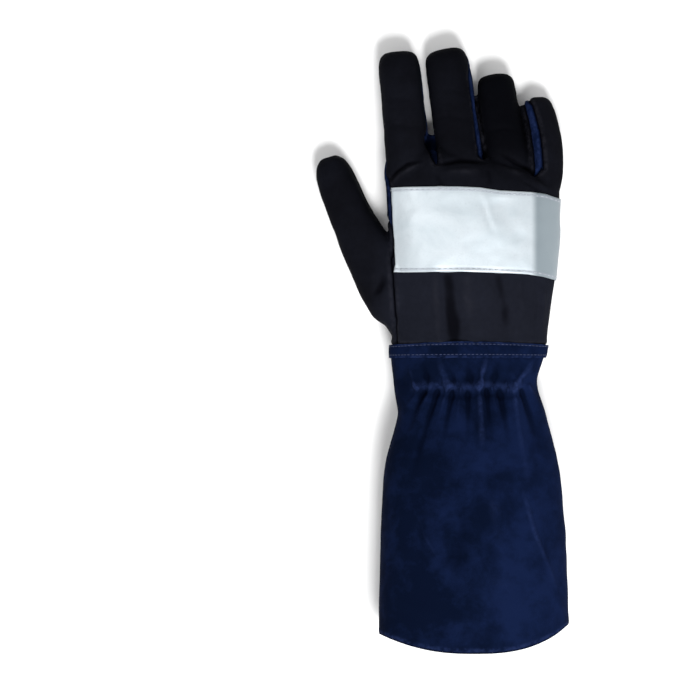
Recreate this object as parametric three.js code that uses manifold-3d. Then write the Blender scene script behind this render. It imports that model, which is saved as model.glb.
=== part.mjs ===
// A right-hand firefighter's glove with a long gauntlet, lying on its palm.
// The back of the hand is black cloth with a wide reflective band. The palm, the strips
// between the fingers and the gauntlet are blue split leather. An elastic gathers the wrist
// on the back, and a metal snap hook hangs from a strap at the little-finger side.
// Millimetres. +X points to the little finger, +Y to the fingertips, +Z out of the back.
import * as THREE from "three";
import { mergeVertices } from "three/addons/utils/BufferGeometryUtils.js";
import Module from "manifold-3d";

const wasm = await Module();
wasm.setup();

// Driving sizes of the hand.
const handLength = 119; // wrist joint to the end of the knuckles
const palmWidth = 104;
const palmHeight = 43;
const wristSeamWidth = 0.894 * palmWidth;
const wristSeamHeight = 0.953 * palmHeight;
const wristLift = 4; // how far the wrist is off the surface that the glove lies on
const sink = 0.8; // how much of the underside's curve is pressed flat on that surface
const knuckleSlant = 15; // how much nearer the wrist the little finger starts than the index
const handWall = 2.4; // cloth or leather with its padding
const fingerLength = 74; // the middle finger's
const fingerWidth = 26.5;
const fingerHeight = 25;
const thumbLength = 104.5;
const thumbWidth = 42;
const thumbHeight = 33;

// Driving sizes of the gauntlet.
const gauntletLength = 183.6;
const waistWidth = 0.776 * palmWidth; // where the elastic pulls it in
const waistHeight = 0.884 * palmHeight;
const mouthWidth = 113.6;
const mouthHeight = 66;
const mouthShift = 2.6; // sideways, towards the little finger
const gauntletWall = 2.2;
const hemRise = 14; // the hem's sides lie this much nearer the wrist than its middle
const elasticPlace = 20; // from the wrist joint
const gatherDepth = 2.6;

// Driving sizes of what is sewn on.
const tapeWidth = 50.8;
const tapeThickness = 0.8;
const tapePlace = 44.2; // wrist joint to the band's lower edge
const tapeDrop = 5.8; // how much lower the band lies at the little-finger side
const bandWidth = 9.6;
const bandThickness = 1.2;
const bandOverlap = 2.4; // how much of the wrist band lies on the hand
const gap = 0.35; // between neighbouring pieces

// Driving sizes of the strap and its snap hook.
const strapWidth = 8.4;
const strapEndWidth = 5;
const strapThickness = 1.3;
const strapPlace = 76; // from the wrist joint to the strap's sewn end
const strapLength = 38;
const eyeWire = 1.5;
const eyeWindowHeight = 3.8;
const eyeFoot = 3; // height of the bar that holds the hook's post
const hookLength = 24;
const hookThickness = 3.4;
const hookRingRadius = 4.1;
const hookRingHole = 2.3;
const hookClearance = 0.3;
const postRadius = 1;
const leverThickness = 1.3;
const leverPinRadius = 0.6;

// How the outlines are divided.
const palmSides = 30;
const fingerSides = 12;
const liningSides = 8;
const gauntletBackColumns = 30; // the folds are on this side
const gauntletPalmColumns = 12;

// The hand from the wrist joint to the knuckles. Shares: along handLength, spread from the
// wrist seam's width to palmWidth, thick from its height to palmHeight, lift of wristLift,
// shift of palmWidth, end of the section's own size.
const HAND_SECTIONS = [
  { along: 0.0, spread: 0.0, thick: 0.0, lift: 1.0, shift: -0.008, end: 1.0 },
  { along: 0.2, spread: 0.1, thick: 0.3, lift: 0.3, shift: 0.014, end: 1.0 },
  { along: 0.41, spread: 0.6, thick: 1.0, lift: 0.0, shift: 0.021, end: 1.0 },
  { along: 0.62, spread: 0.87, thick: 0.9, lift: 0.0, shift: 0.021, end: 1.0 },
  { along: 0.8, spread: 1.0, thick: -0.3, lift: 0.1, shift: 0.014, end: 1.0 },
  { along: 0.9, spread: 1.0, thick: -2.0, lift: 0.4, shift: 0.005, end: 1.0 },
  { along: 0.955, spread: 0.9, thick: -3.0, lift: 0.6, shift: 0.0, end: 0.96 },
  { along: 0.985, spread: 0.7, thick: -3.6, lift: 0.8, shift: -0.005, end: 0.89 },
  { along: 1.0, spread: 0.4, thick: -4.0, lift: 1.0, shift: -0.01, end: 0.78 },
];

// The gauntlet from the wrist joint to the hem. Shares: along gauntletLength; seam from the
// waist's size back to the wrist seam's; left, right and tall from the waist's size to the
// mouth's; lift of wristLift; gather of gatherDepth.
const GAUNTLET_SECTIONS = [
  { along: 0.0, seam: 1.0, left: 0.0, right: 0.0, tall: 0.0, lift: 1.0, gather: 0.0 },
  { along: 0.033, seam: 0.8, left: 0.08, right: 0.03, tall: 0.0, lift: 1.1, gather: 0.12 },
  { along: 0.07, seam: 0.5, left: 0.17, right: -0.03, tall: 0.0, lift: 1.2, gather: 0.55 },
  { along: 0.111, seam: 0.2, left: 0.24, right: -0.13, tall: 0.0, lift: 1.25, gather: 0.5 },
  { along: 0.15, seam: 0.1, left: 0.245, right: -0.02, tall: 0.05, lift: 1.2, gather: 1.0 },
  { along: 0.225, seam: 0.0, left: 0.125, right: 0.29, tall: 0.3, lift: 0.9, gather: 0.85 },
  { along: 0.3, seam: 0.0, left: 0.37, right: 0.48, tall: 0.5, lift: 0.5, gather: 0.5 },
  { along: 0.37, seam: 0.0, left: 0.58, right: 0.665, tall: 0.68, lift: 0.2, gather: 0.25 },
  { along: 0.45, seam: 0.0, left: 0.75, right: 0.775, tall: 0.81, lift: 0.0, gather: 0.1 },
  { along: 0.66, seam: 0.0, left: 0.885, right: 0.965, tall: 0.94, lift: 0.0, gather: 0.0 },
  { along: 0.84, seam: 0.0, left: 0.957, right: 1.005, tall: 1.0, lift: 0.0, gather: 0.0 },
  { along: 1.0, seam: 0.0, left: 1.0, right: 1.0, tall: 1.0, lift: 0.0, gather: 0.0 },
];

// The elastic's folds across the back. Shares: at of the half width, depth of the gather's,
// narrow of gatherSpacing, slant of the half width that the fold drifts over its run.
const GATHER_FOLDS = [
  { at: -0.86, depth: 0.7, narrow: 1.0, slant: -0.16 },
  { at: -0.56, depth: 1.0, narrow: 1.0, slant: -0.2 },
  { at: -0.3, depth: 0.8, narrow: 0.9, slant: -0.12 },
  { at: -0.06, depth: 0.9, narrow: 0.8, slant: -0.04 },
  { at: 0.2, depth: 1.0, narrow: 0.9, slant: 0.02 },
  { at: 0.46, depth: 0.9, narrow: 0.9, slant: 0.07 },
  { at: 0.76, depth: 0.8, narrow: 1.0, slant: 0.12 },
];
const gatherSpacing = 0.1; // a fold's half width as a share of the half width across

// The fingers. Shares: at of half palmWidth, start of handLength, length, width and height of
// the finger's named ones, rise and tip of the width across, bow of fingerWidth. Lean and roll
// are in degrees, to the little-finger side. The seams are shares of the half height, on the
// thumb side (near) and on the other side (far), above and below the strip between fingers.
const FINGERS = [
  { name: "index", at: -0.695, start: 0.872, length: 0.98, width: 0.96, height: 0.98,
    lean: -5.6, roll: -3, bow: 0, nearTop: 0.1, farTop: 0.15, nearUnder: 0.1, farUnder: -0.5 },
  { name: "middle", at: -0.077, start: 0.89, length: 0.978, width: 1, height: 1,
    lean: -8.5, roll: -13, bow: 0, nearTop: 0.2, farTop: 0.5, nearUnder: -0.5, farUnder: -0.5 },
  { name: "ring", at: 0.47, start: 0.872, length: 0.8, width: 0.88, height: 0.92,
    lean: -9.1, roll: 2, bow: -0.02, nearTop: 0, farTop: 0.1, nearUnder: -0.5, farUnder: -0.5 },
  { name: "little", at: 0.84, start: 0.808, length: 0.695, width: 0.72, height: 0.82,
    lean: -5.2, roll: 36, bow: 0.14, nearTop: 0.6, farTop: -0.5, nearUnder: -0.55, farUnder: -0.5 },
];
const fingerRootHeight = 0.8; // of fingerHeight, the height of a finger's axis at its root
const fingerTipHeight = 0.4; // the same at its tip
const fingerArch = 0.1; // of fingerHeight, how far the middle of the axis is raised

const FINGER_SECTIONS = [
  { along: 0.0, width: 0.98, height: 0.96 },
  { along: 0.15, width: 1.05, height: 1.0 },
  { along: 0.36, width: 1.02, height: 1.0 },
  { along: 0.6, width: 1.0, height: 0.98 },
  { along: 0.82, width: 0.99, height: 0.94 },
  { along: 0.93, width: 0.95, height: 0.84 },
  { along: 0.97, width: 0.84, height: 0.68 },
  { along: 0.99, width: 0.7, height: 0.5 },
  { along: 1.0, width: 0.52, height: 0.32 },
];

// The thumb: like a finger's row, but with its own named sizes.
const THUMB = {
  name: "thumb", at: -0.71, start: 0.176, lean: -27.4, roll: -14, bow: -0.11,
};
const thumbRootHeight = 0.52; // of thumbHeight
const thumbTipHeight = 0.31;
const thumbArch = 0.04;
const THUMB_SECTIONS = [
  { along: 0.0, width: 0.74, height: 0.86 },
  { along: 0.09, width: 0.9, height: 0.95 },
  { along: 0.2, width: 0.88, height: 0.93 },
  { along: 0.4, width: 0.73, height: 0.83 },
  { along: 0.6, width: 0.61, height: 0.75 },
  { along: 0.8, width: 0.57, height: 0.69 },
  { along: 0.92, width: 0.5, height: 0.58 },
  { along: 0.975, width: 0.36, height: 0.42 },
  { along: 1.0, width: 0.18, height: 0.2 },
];
// The thumb's side seams, as shares of its half height: outer away from the hand.
const THUMB_SEAMS = [
  { along: -0.4, outer: -0.9, inner: -0.3 },
  { along: 0.0, outer: -0.74, inner: -0.1 },
  { along: 0.3, outer: -0.55, inner: 0.05 },
  { along: 0.6, outer: -0.42, inner: 0.1 },
  { along: 0.9, outer: -0.3, inner: 0.05 },
  { along: 1.1, outer: -0.15, inner: 0.0 },
];
// Where the thumb's pieces are sewn to the hand: along handLength, across half palmWidth.
const THUMB_JOIN = [
  { along: -0.06, back: -0.84, palm: -0.84 },
  { along: 0.03, back: -0.85, palm: -0.8 },
  { along: 0.2, back: -0.87, palm: -0.55 },
  { along: 0.42, back: -0.9, palm: -0.46 },
  { along: 0.57, back: -0.915, palm: -0.66 },
  { along: 0.63, back: -0.955, palm: -0.92 },
  { along: 1.1, back: -1.3, palm: -1.3 },
];
// The side seams between back and palm, as shares of palmHeight.
const thumbSideSeam = 0.68;
const littleSideSeam = 0.3;
// The seam across the palm side, at the root of the two middle fingers.
const FINGER_ROOT_SEAM = [
  { finger: "middle", near: 0.885, far: 0.868 },
  { finger: "ring", near: 0.868, far: 0.845 },
];

const cloth = new THREE.MeshStandardMaterial({ color: 0x14141b, roughness: 0.85 });
const suede = new THREE.MeshStandardMaterial({ color: 0x101f4a, roughness: 0.95 });
const reflective = new THREE.MeshStandardMaterial({ color: 0xd5dce2, roughness: 0.45 });
const webbing = new THREE.MeshStandardMaterial({ color: 0x0c0c10, roughness: 0.9 });
const nickel = new THREE.MeshStandardMaterial({ color: 0xc9c7bf, roughness: 0.3, metalness: 1 });

const radians = THREE.MathUtils.degToRad;
const mix = THREE.MathUtils.lerp;

// The row of a table at a share of its length, its numbers interpolated.
function rowAt(table, along) {
  const last = table.length - 1;
  const next = Math.min(last, Math.max(1, table.findIndex((row) => row.along >= along)));
  const after = table[table[last].along < along ? last : next];
  const before = table[table.indexOf(after) - 1];
  const t = (along - before.along) / (after.along - before.along);
  const made = {};
  for (const key of Object.keys(after)) {
    const isNumber = typeof after[key] === "number";
    made[key] = isNumber ? mix(before[key], after[key], t) : after[key];
  }
  return made;
}

// Rounded-box coordinate: an ellipse at power 2, squarer above it.
function rounded(value, power) {
  return Math.sign(value) * Math.abs(value) ** (2 / power);
}

// The body's section at y: y is 0 at the wrist joint, above it the hand, below it the gauntlet.
function sectionAt(y) {
  return y >= 0 ? handSectionAt(y) : gauntletSectionAt(y);
}

function handSectionAt(y) {
  const row = rowAt(HAND_SECTIONS, y / handLength);
  const half = (mix(wristSeamWidth, palmWidth, row.spread) / 2) * row.end;
  const height = mix(wristSeamHeight, palmHeight, row.thick) * row.end ** 2;
  const base = wristLift * row.lift - sink + (height * (1 - row.end ** 2)) / 2;
  return { y, x: palmWidth * row.shift, left: half, right: half, base, height, gather: 0 };
}

function gauntletSectionAt(y) {
  const row = rowAt(GAUNTLET_SECTIONS, -y / gauntletLength);
  const waist = mix(waistWidth, wristSeamWidth, row.seam);
  const flare = mouthWidth - waistWidth;
  return {
    y,
    x: mix(palmWidth * HAND_SECTIONS[0].shift, mouthShift, row.along),
    left: (waist + flare * row.left) / 2,
    right: (waist + flare * row.right) / 2,
    base: wristLift * row.lift - sink,
    height: mix(waistHeight, wristSeamHeight, row.seam) + (mouthHeight - waistHeight) * row.tall,
    gather: row.gather,
  };
}

const upperRoundness = 2.4;
const palmRoundness = 2.7; // of the underside
const gauntletRoundness = 2.3;
function underRoundness(y) {
  return mix(palmRoundness, gauntletRoundness, THREE.MathUtils.smoothstep(-y, 0, gauntletLength / 3));
}

// A point on the body's outline, grown outwards. The underside is flat where it rests.
function bodyPoint(y, angle, grow) {
  const section = sectionAt(y);
  const across = Math.cos(angle);
  const up = Math.sin(angle);
  const power = up < 0 ? underRoundness(y) : upperRoundness;
  const half = (across < 0 ? section.left : section.right) + grow;
  const tall = section.height / 2 + grow - gatherAt(section, across, up);
  const z = section.base + section.height / 2 + tall * rounded(up, power);
  const floor = Math.max(0, -grow);
  return new THREE.Vector3(section.x + half * rounded(across, power), y, Math.max(floor, z));
}

// How deep the elastic's folds are there: only on the back, fading at its sides.
function gatherAt(section, across, up) {
  if (section.gather === 0 || up <= 0) return 0;
  const share = rounded(across, upperRoundness);
  const run = Math.max(0, -section.y - elasticPlace) / (gauntletLength / 4);
  let depth = 0;
  for (const fold of GATHER_FOLDS) {
    const offset = (share - fold.at - fold.slant * run) / (gatherSpacing * fold.narrow);
    depth += fold.depth * Math.exp(-offset * offset);
  }
  return gatherDepth * section.gather * depth;
}

// A closed body from a grid of outer points and the inner points behind them.
function wallPatch(columns, rows, pointAt) {
  const positions = [];
  const faces = [];
  for (const side of [0, 1])
    for (let j = 0; j <= rows; j++)
      for (let i = 0; i <= columns; i++) positions.push(...pointAt(i / columns, j / rows, side));
  const layer = (columns + 1) * (rows + 1);
  const at = (i, j, side) => side * layer + j * (columns + 1) + i;
  const quad = (a, b, c, d) => faces.push(a, b, c, a, c, d);
  for (let j = 0; j < rows; j++)
    for (let i = 0; i < columns; i++) {
      quad(at(i, j, 0), at(i + 1, j, 0), at(i + 1, j + 1, 0), at(i, j + 1, 0));
      quad(at(i, j + 1, 1), at(i + 1, j + 1, 1), at(i + 1, j, 1), at(i, j, 1));
    }
  for (let i = 0; i < columns; i++) {
    quad(at(i, 0, 1), at(i + 1, 0, 1), at(i + 1, 0, 0), at(i, 0, 0));
    quad(at(i, rows, 0), at(i + 1, rows, 0), at(i + 1, rows, 1), at(i, rows, 1));
  }
  for (let j = 0; j < rows; j++) {
    quad(at(0, j, 0), at(0, j + 1, 0), at(0, j + 1, 1), at(0, j, 1));
    quad(at(columns, j, 1), at(columns, j + 1, 1), at(columns, j + 1, 0), at(columns, j, 0));
  }
  return facingOut(indexed(positions, faces));
}

function indexed(positions, faces) {
  const geometry = new THREE.BufferGeometry();
  geometry.setAttribute("position", new THREE.Float32BufferAttribute(positions, 3));
  geometry.setIndex(faces);
  return geometry;
}

// Turns the faces round where they point inwards.
function facingOut(geometry) {
  const p = geometry.attributes.position;
  const index = geometry.index.array;
  const [a, b, c] = [new THREE.Vector3(), new THREE.Vector3(), new THREE.Vector3()];
  let volume = 0;
  for (let i = 0; i < index.length; i += 3) {
    a.fromBufferAttribute(p, index[i]);
    b.fromBufferAttribute(p, index[i + 1]);
    c.fromBufferAttribute(p, index[i + 2]);
    volume += a.dot(b.cross(c));
  }
  if (volume < 0)
    for (let i = 0; i < index.length; i += 3)
      [index[i + 1], index[i + 2]] = [index[i + 2], index[i + 1]];
  return geometry;
}

// A closed body through convex rings of equally many points, its ends closed by flat faces.
function loft(rings) {
  const count = rings[0].length;
  const faces = [];
  for (let j = 0; j < rings.length - 1; j++)
    for (let i = 0; i < count; i++) {
      const next = (i + 1) % count;
      const [a, b] = [j * count + i, j * count + next];
      faces.push(a, b, b + count, a, b + count, a + count);
    }
  const lastRing = (rings.length - 1) * count;
  for (let i = 1; i < count - 1; i++) {
    faces.push(0, i + 1, i);
    faces.push(lastRing, lastRing + i, lastRing + i + 1);
  }
  const positions = rings.flat().flatMap((point) => point.toArray());
  return facingOut(indexed(positions, faces));
}

function solid(geometry) {
  const bare = new THREE.BufferGeometry();
  const source = geometry.index ? geometry.toNonIndexed() : geometry;
  bare.setAttribute("position", source.getAttribute("position"));
  const merged = mergeVertices(bare, 1e-4);
  return new wasm.Manifold(
    new wasm.Mesh({
      numProp: 3,
      vertProperties: merged.attributes.position.array,
      triVerts: new Uint32Array(merged.index.array),
    }),
  );
}

function geometryOf(manifold) {
  const made = manifold.getMesh();
  return indexed(Array.from(made.vertProperties), Array.from(made.triVerts));
}

// The main body of a cut: slivers that a cutter leaves along a seam are trimmed away.
function largest(manifold) {
  return manifold.decompose().reduce((best, one) => (one.volume() > best.volume() ? one : best));
}

// A finger's or the thumb's axis, and the frame across it.
function makeDigit(row, sizes) {
  const lean = radians(row.lean);
  const forward = new THREE.Vector3(Math.sin(lean), Math.cos(lean), 0);
  const aside = new THREE.Vector3(Math.cos(lean), -Math.sin(lean), 0);
  const root = new THREE.Vector3((row.at * palmWidth) / 2, row.start * handLength, sizes.rootHeight);
  const tip = root.clone().addScaledVector(forward, sizes.length).setZ(sizes.tipHeight);
  const bend = root.clone().lerp(tip, 0.5);
  bend.addScaledVector(aside, 2 * row.bow * sizes.width);
  bend.z += 2 * sizes.arch;
  return { ...row, ...sizes, axis: new THREE.QuadraticBezierCurve3(root, bend, tip) };
}

const digits = FINGERS.map((row) =>
  makeDigit(row, {
    length: row.length * fingerLength,
    width: row.width * fingerWidth,
    height: row.height * fingerHeight,
    rootHeight: fingerRootHeight * fingerHeight,
    tipHeight: fingerTipHeight * row.height * fingerHeight,
    arch: fingerArch * fingerHeight,
    sections: FINGER_SECTIONS,
  }),
);
const thumb = makeDigit(THUMB, {
  length: thumbLength,
  width: thumbWidth,
  height: thumbHeight,
  rootHeight: thumbRootHeight * thumbHeight,
  tipHeight: thumbTipHeight * thumbHeight,
  arch: thumbArch * thumbHeight,
  sections: THUMB_SECTIONS,
});

// Centre, sideways and upward directions, and half sizes of a digit at a share of its length.
function digitFrame(digit, along) {
  const inside = THREE.MathUtils.clamp(along, 0, 1);
  const centre = digit.axis.getPoint(inside);
  const ahead = digit.axis.getTangent(inside);
  centre.addScaledVector(ahead, (along - inside) * digit.length);
  const side = ahead.clone().cross(new THREE.Vector3(0, 0, 1)).normalize();
  const up = side.clone().cross(ahead).normalize();
  const roll = radians(digit.roll);
  const across = side.clone().multiplyScalar(Math.cos(roll));
  across.addScaledVector(up, -Math.sin(roll));
  const raised = up.clone().multiplyScalar(Math.cos(roll));
  raised.addScaledVector(side, Math.sin(roll));
  const row = rowAt(digit.sections, inside);
  return {
    centre,
    across,
    up: raised,
    halfWidth: (digit.width * row.width) / 2,
    halfHeight: (digit.height * row.height) / 2,
  };
}

const digitRoundness = 2.6;

// The digit's outside, or with a thickness the room inside its wall.
function digitLoft(digit, sides, thickness) {
  const reach = 1 - (1.2 * thickness) / digit.length;
  const used = digit.sections.filter((row, i) => thickness === 0 || i % 2 === 0);
  const rings = used.map((row) => {
    const frame = digitFrame(digit, row.along);
    const centre = digitFrame(digit, row.along * reach).centre;
    const ring = [];
    for (let i = 0; i < sides; i++) {
      const angle = (2 * Math.PI * (i + 0.5)) / sides;
      const across = (frame.halfWidth - thickness) * rounded(Math.cos(angle), digitRoundness);
      const up = (frame.halfHeight - thickness) * rounded(Math.sin(angle), digitRoundness);
      const point = centre.clone().addScaledVector(frame.across, across);
      point.addScaledVector(frame.up, up);
      point.z = Math.max(point.z, thickness);
      ring.push(point);
    }
    return ring;
  });
  return solid(loft(rings));
}

// The end of the hand slants back from the middle finger to the little finger.
function knuckleDrop(along, x) {
  const share = THREE.MathUtils.clamp((x / palmWidth + 0.2) / 0.7, 0, 1);
  return knuckleSlant * share * THREE.MathUtils.smoothstep(along, 0.75, 1);
}

// The hand's body from the wrist joint to the knuckles, or the room inside its wall.
function handLoft(thickness) {
  const shares = HAND_SECTIONS.map((row) => row.along);
  const rings = shares.map((along) => {
    const y = along * handLength;
    const ring = [];
    for (let i = 0; i < palmSides; i++)
      ring.push(bodyPoint(y, (2 * Math.PI * i) / palmSides, -thickness));
    for (const point of ring) point.y -= knuckleDrop(along, point.x);
    return ring;
  });
  if (thickness > 0) {
    const open = rings[0].map((point) => point.clone().setY(-handWall));
    const closed = rings[rings.length - 1];
    closed.forEach((point) => (point.y -= thickness));
    rings.unshift(open);
  }
  return solid(loft(rings));
}

// A seam sheet over the fingers, as a solid that reaches up to a height above or below it.
// Each row has three points a finger, so that it follows the finger's lean and roll.
const sheetHeight = 3 * palmHeight;
const seamFadeStart = 0.86; // of a finger's length, where its side strip starts to close
function seamSheet(which, offset, level) {
  const rows = [];
  for (const along of [-0.12, 0.5, 0.8]) rows.push(palmSeamRow(along));
  for (const along of [0.12, 0.32, 0.55, seamFadeStart, 0.95, 1, 1.12])
    rows.push(fingerSeamRow(which, along));
  const points = rows.flat().map((point) => point.setZ(point.z + offset));
  return solid(columnGrid(points, rows[0].length, level));
}

// Height of the side seam over the palm, sloping from the thumb's side to the little finger's.
function palmSeamHeight(x) {
  const share = THREE.MathUtils.clamp(x / palmWidth + 0.5, -0.2, 1.2);
  return palmHeight * mix(thumbSideSeam, littleSideSeam, share);
}

function palmSeamRow(along) {
  const y = along * handLength;
  const row = fingerSeamRow("Top", 0.12);
  return row.map((point) => new THREE.Vector3(point.x, y, palmSeamHeight(point.x)));
}

const columnSplit = 0.03 * fingerWidth; // from the line between two fingers to the sheet's point beside it
function fingerSeamRow(which, along) {
  const lines = digits.map((digit) => seamLine(digit, which, along));
  const between = (before, after) => before.far.clone().lerp(after.near, 0.5);
  const row = [];
  lines.forEach((line, i) => {
    const near = i > 0 ? between(lines[i - 1], line) : line.near.clone();
    const far = i < lines.length - 1 ? between(line, lines[i + 1]) : line.far.clone();
    near.x += i > 0 ? columnSplit : -0.4 * (line.far.x - line.near.x);
    far.x += i < lines.length - 1 ? -columnSplit : 0.4 * (line.far.x - line.near.x);
    row.push(near.setZ(line.heightAt(near.x)), line.middle, far.setZ(line.heightAt(far.x)));
  });
  return row;
}

// The line across a finger on which a side seam lies.
function seamLine(digit, which, along) {
  const frame = digitFrame(digit, along);
  const fade = THREE.MathUtils.smoothstep(along, seamFadeStart, 1);
  const height = (share) => mix(share, 0, fade) * frame.halfHeight;
  const place = (side, share) =>
    frame.centre
      .clone()
      .addScaledVector(frame.across, side * frame.halfWidth)
      .addScaledVector(frame.up, height(share));
  const near = place(-1, digit["near" + which]);
  const far = place(1, digit["far" + which]);
  const heightAt = (x) => {
    const share = THREE.MathUtils.clamp((x - near.x) / (far.x - near.x), -0.4, 1.4);
    return mix(near.z, far.z, share);
  };
  return { near, far, middle: near.clone().lerp(far, 0.5), heightAt };
}

// A closed body between a warped grid of points and a flat level above or below it.
function columnGrid(points, columns, level) {
  const rows = points.length / columns - 1;
  const at = (u, v) => points[Math.round(v * rows) * columns + Math.round(u * (columns - 1))];
  return wallPatch(columns - 1, rows, (u, v, side) => {
    const point = at(u, v);
    return [point.x, point.y, side === 0 ? point.z : level];
  });
}

// The outer and inner form of the whole hand, and the wall between them.
function handShell() {
  let outside = handLoft(0);
  let room = handLoft(handWall);
  for (const digit of [...digits, thumb]) {
    outside = outside.add(digitLoft(digit, fingerSides, 0));
    room = room.add(digitLoft(digit, liningSides, handWall));
  }
  return outside.subtract(room);
}

// The part of space that belongs to the thumb, moved sideways by an offset. Its edge leans:
// at the palm it lies further in than at the back.
function thumbRegion(offset) {
  const half = palmWidth / 2;
  const levels = [-sheetHeight, 0.14 * palmHeight, 0.7 * palmHeight, sheetHeight];
  const rows = THUMB_JOIN.length - 1;
  return solid(
    wallPatch(levels.length - 1, rows, (u, v, side) => {
      const i = Math.round(u * (levels.length - 1));
      const row = THUMB_JOIN[Math.round(v * rows)];
      const edge = (i < 2 ? row.palm : row.back) * half + offset;
      return [side === 0 ? edge : -half - thumbLength, row.along * handLength, levels[i]];
    }),
  );
}

// The sheet that parts the thumb's back from its front, as a solid on one side of it.
function thumbSheet(offset, level) {
  const reach = 0.3 * thumbWidth;
  const points = THUMB_SEAMS.flatMap((row) => {
    const frame = digitFrame(thumb, row.along);
    const place = (side, share) => {
      const point = frame.centre.clone();
      point.addScaledVector(frame.across, side * (frame.halfWidth + reach));
      point.addScaledVector(frame.up, share * frame.halfHeight);
      return point.setZ(point.z + offset);
    };
    return [place(-1, row.outer), place(1, row.inner)];
  });
  return solid(columnGrid(points, 2, level));
}

// A region in plan, as a solid over the full height.
function planRegion(corners) {
  const shape = new THREE.Shape(corners.map(([x, y]) => new THREE.Vector2(x, y)));
  const depth = 2 * sheetHeight;
  const made = new THREE.ExtrudeGeometry(shape, { depth, bevelEnabled: false });
  return solid(made.translate(0, 0, -sheetHeight));
}

// The plan line along the middle of a finger, from behind its root to past its tip.
function middleLine(digit) {
  return [-0.25, 0.3, 0.6, 0.85, 1.1].map((along) => {
    const { middle } = seamLine(digit, "Top", along);
    return [middle.x, middle.y];
  });
}

// The plan line between two neighbouring fingers.
function crotchLine(before, after) {
  return [-0.3, 0, 0.12, 0.32, 0.55, 1, 1.3].map((along) => {
    const far = seamLine(before, "Under", along).far;
    const near = seamLine(after, "Under", along).near;
    return [(far.x + near.x) / 2, (far.y + near.y) / 2];
  });
}

function makeHandPieces() {
  const shell = handShell();
  const half = gap / 2;
  const hand = shell.subtract(thumbRegion(1.5 * gap));
  const thumbWall = shell.intersect(thumbRegion(0));
  const aboveTop = seamSheet("Top", half, sheetHeight);
  const belowTop = hand.subtract(seamSheet("Top", -half, sheetHeight));
  const strips = belowTop.subtract(seamSheet("Under", half, -sheetHeight));
  const pieces = {
    hand_back: [hand.intersect(aboveTop), cloth],
    thumb_back: [thumbWall.intersect(thumbSheet(half, sheetHeight)), cloth],
    thumb_front: [thumbWall.intersect(thumbSheet(-half, -sheetHeight)), suede],
  };
  for (let i = 0; i < digits.length - 1; i++) {
    const near = middleLine(digits[i]);
    const far = middleLine(digits[i + 1]);
    const region = planRegion([...near, ...far.reverse()]);
    const name = "fourchette_" + digits[i].name + "_" + digits[i + 1].name;
    pieces[name] = [strips.intersect(region), suede];
  }
  let palm = belowTop.intersect(seamSheet("Under", -half, -sheetHeight));
  for (const row of FINGER_ROOT_SEAM) {
    const i = digits.findIndex((digit) => digit.name === row.finger);
    pieces[row.finger + "_finger_front"] = [
      palm.intersect(frontRegion(i, row, half)), suede,
    ];
  }
  for (const row of FINGER_ROOT_SEAM) {
    const i = digits.findIndex((digit) => digit.name === row.finger);
    palm = palm.subtract(frontRegion(i, row, -half));
  }
  pieces.hand_palm = [palm, suede];
  return pieces;
}

// The plan region of one finger's separate front, shrunk by an inset.
function frontRegion(i, row, inset) {
  const near = crotchLine(digits[i - 1], digits[i]).filter(([, y]) => y > row.near * handLength);
  const far = crotchLine(digits[i], digits[i + 1]).filter(([, y]) => y > row.far * handLength);
  const nearRoot = [near[0][0] + inset, row.near * handLength + inset];
  const farRoot = [far[0][0] - inset, row.far * handLength + inset];
  return planRegion([
    nearRoot,
    ...near.map(([x, y]) => [x + inset, y]),
    ...far.reverse().map(([x, y]) => [x - inset, y]),
    farRoot,
  ]);
}

// The gauntlet's two side seams, in degrees round its section.
const littleSeamAngle = -24;
const thumbSeamAngle = 186;
const seamSlit = 0.5; // degrees, half the slit between its two pieces

// A piece of the gauntlet between two angles. Its hem is an arc, longest in the middle.
function gauntletWallPatch(from, to, columns) {
  const start = -gap;
  const rows = GAUNTLET_SECTIONS.length - 1;
  return wallPatch(columns, rows, (u, v, side) => {
    const angle = radians(mix(from, to, u));
    const hem = -gauntletLength + hemRise * Math.abs(Math.cos(angle)) ** 2.1;
    const share = GAUNTLET_SECTIONS[Math.round(v * rows)].along;
    return bodyPoint(mix(start, hem, share), angle, -side * gauntletWall);
  });
}

// The angles between two others at which the hand's own facets meet, and those two.
function facetAngles(from, to) {
  const step = 360 / palmSides;
  const angles = [from];
  for (let i = Math.floor(from / step) + 1; i * step < to - 1; i++) angles.push(i * step);
  return [...angles, to];
}

// A strip sewn over the joint of hand and gauntlet.
function wristBand(from, to) {
  const edges = [bandOverlap, 0, 0.62 * (bandOverlap - bandWidth), 0.86 * (bandOverlap - bandWidth)];
  edges.push(bandOverlap - bandWidth);
  const angles = facetAngles(from, to);
  const columns = angles.length - 1;
  return wallPatch(columns, edges.length - 1, (u, v, side) => {
    const y = edges[Math.round(v * (edges.length - 1))];
    const grow = side === 0 ? gap + bandThickness : gap;
    return bodyPoint(y, radians(angles[Math.round(u * columns)]), grow);
  });
}

// The reflective band over the back of the hand.
const tapeNearAngles = [148, 158]; // at its lower and its upper edge, along the thumb's seam
const tapeFarAngle = -14;
function reflectiveTape() {
  const rows = 5;
  const inside = facetAngles(tapeFarAngle, tapeNearAngles[0]).slice(0, -1);
  const columns = inside.length + 1;
  return wallPatch(columns, rows, (u, v, side) => {
    const near = mix(...tapeNearAngles, v);
    const last = inside[inside.length - 1];
    const degrees = [...inside, (last + near) / 2, near][Math.round(u * columns)];
    const drop = tapeDrop * (1 - THREE.MathUtils.smoothstep(u, 0, 0.55));
    const grow = side === 0 ? gap + tapeThickness : gap;
    return bodyPoint(tapePlace + v * tapeWidth - drop, radians(degrees), grow);
  });
}

function extruded(shape, depth) {
  const made = new THREE.ExtrudeGeometry(shape, { depth, bevelEnabled: false, curveSegments: 5 });
  return made.translate(0, 0, -depth / 2);
}

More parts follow.
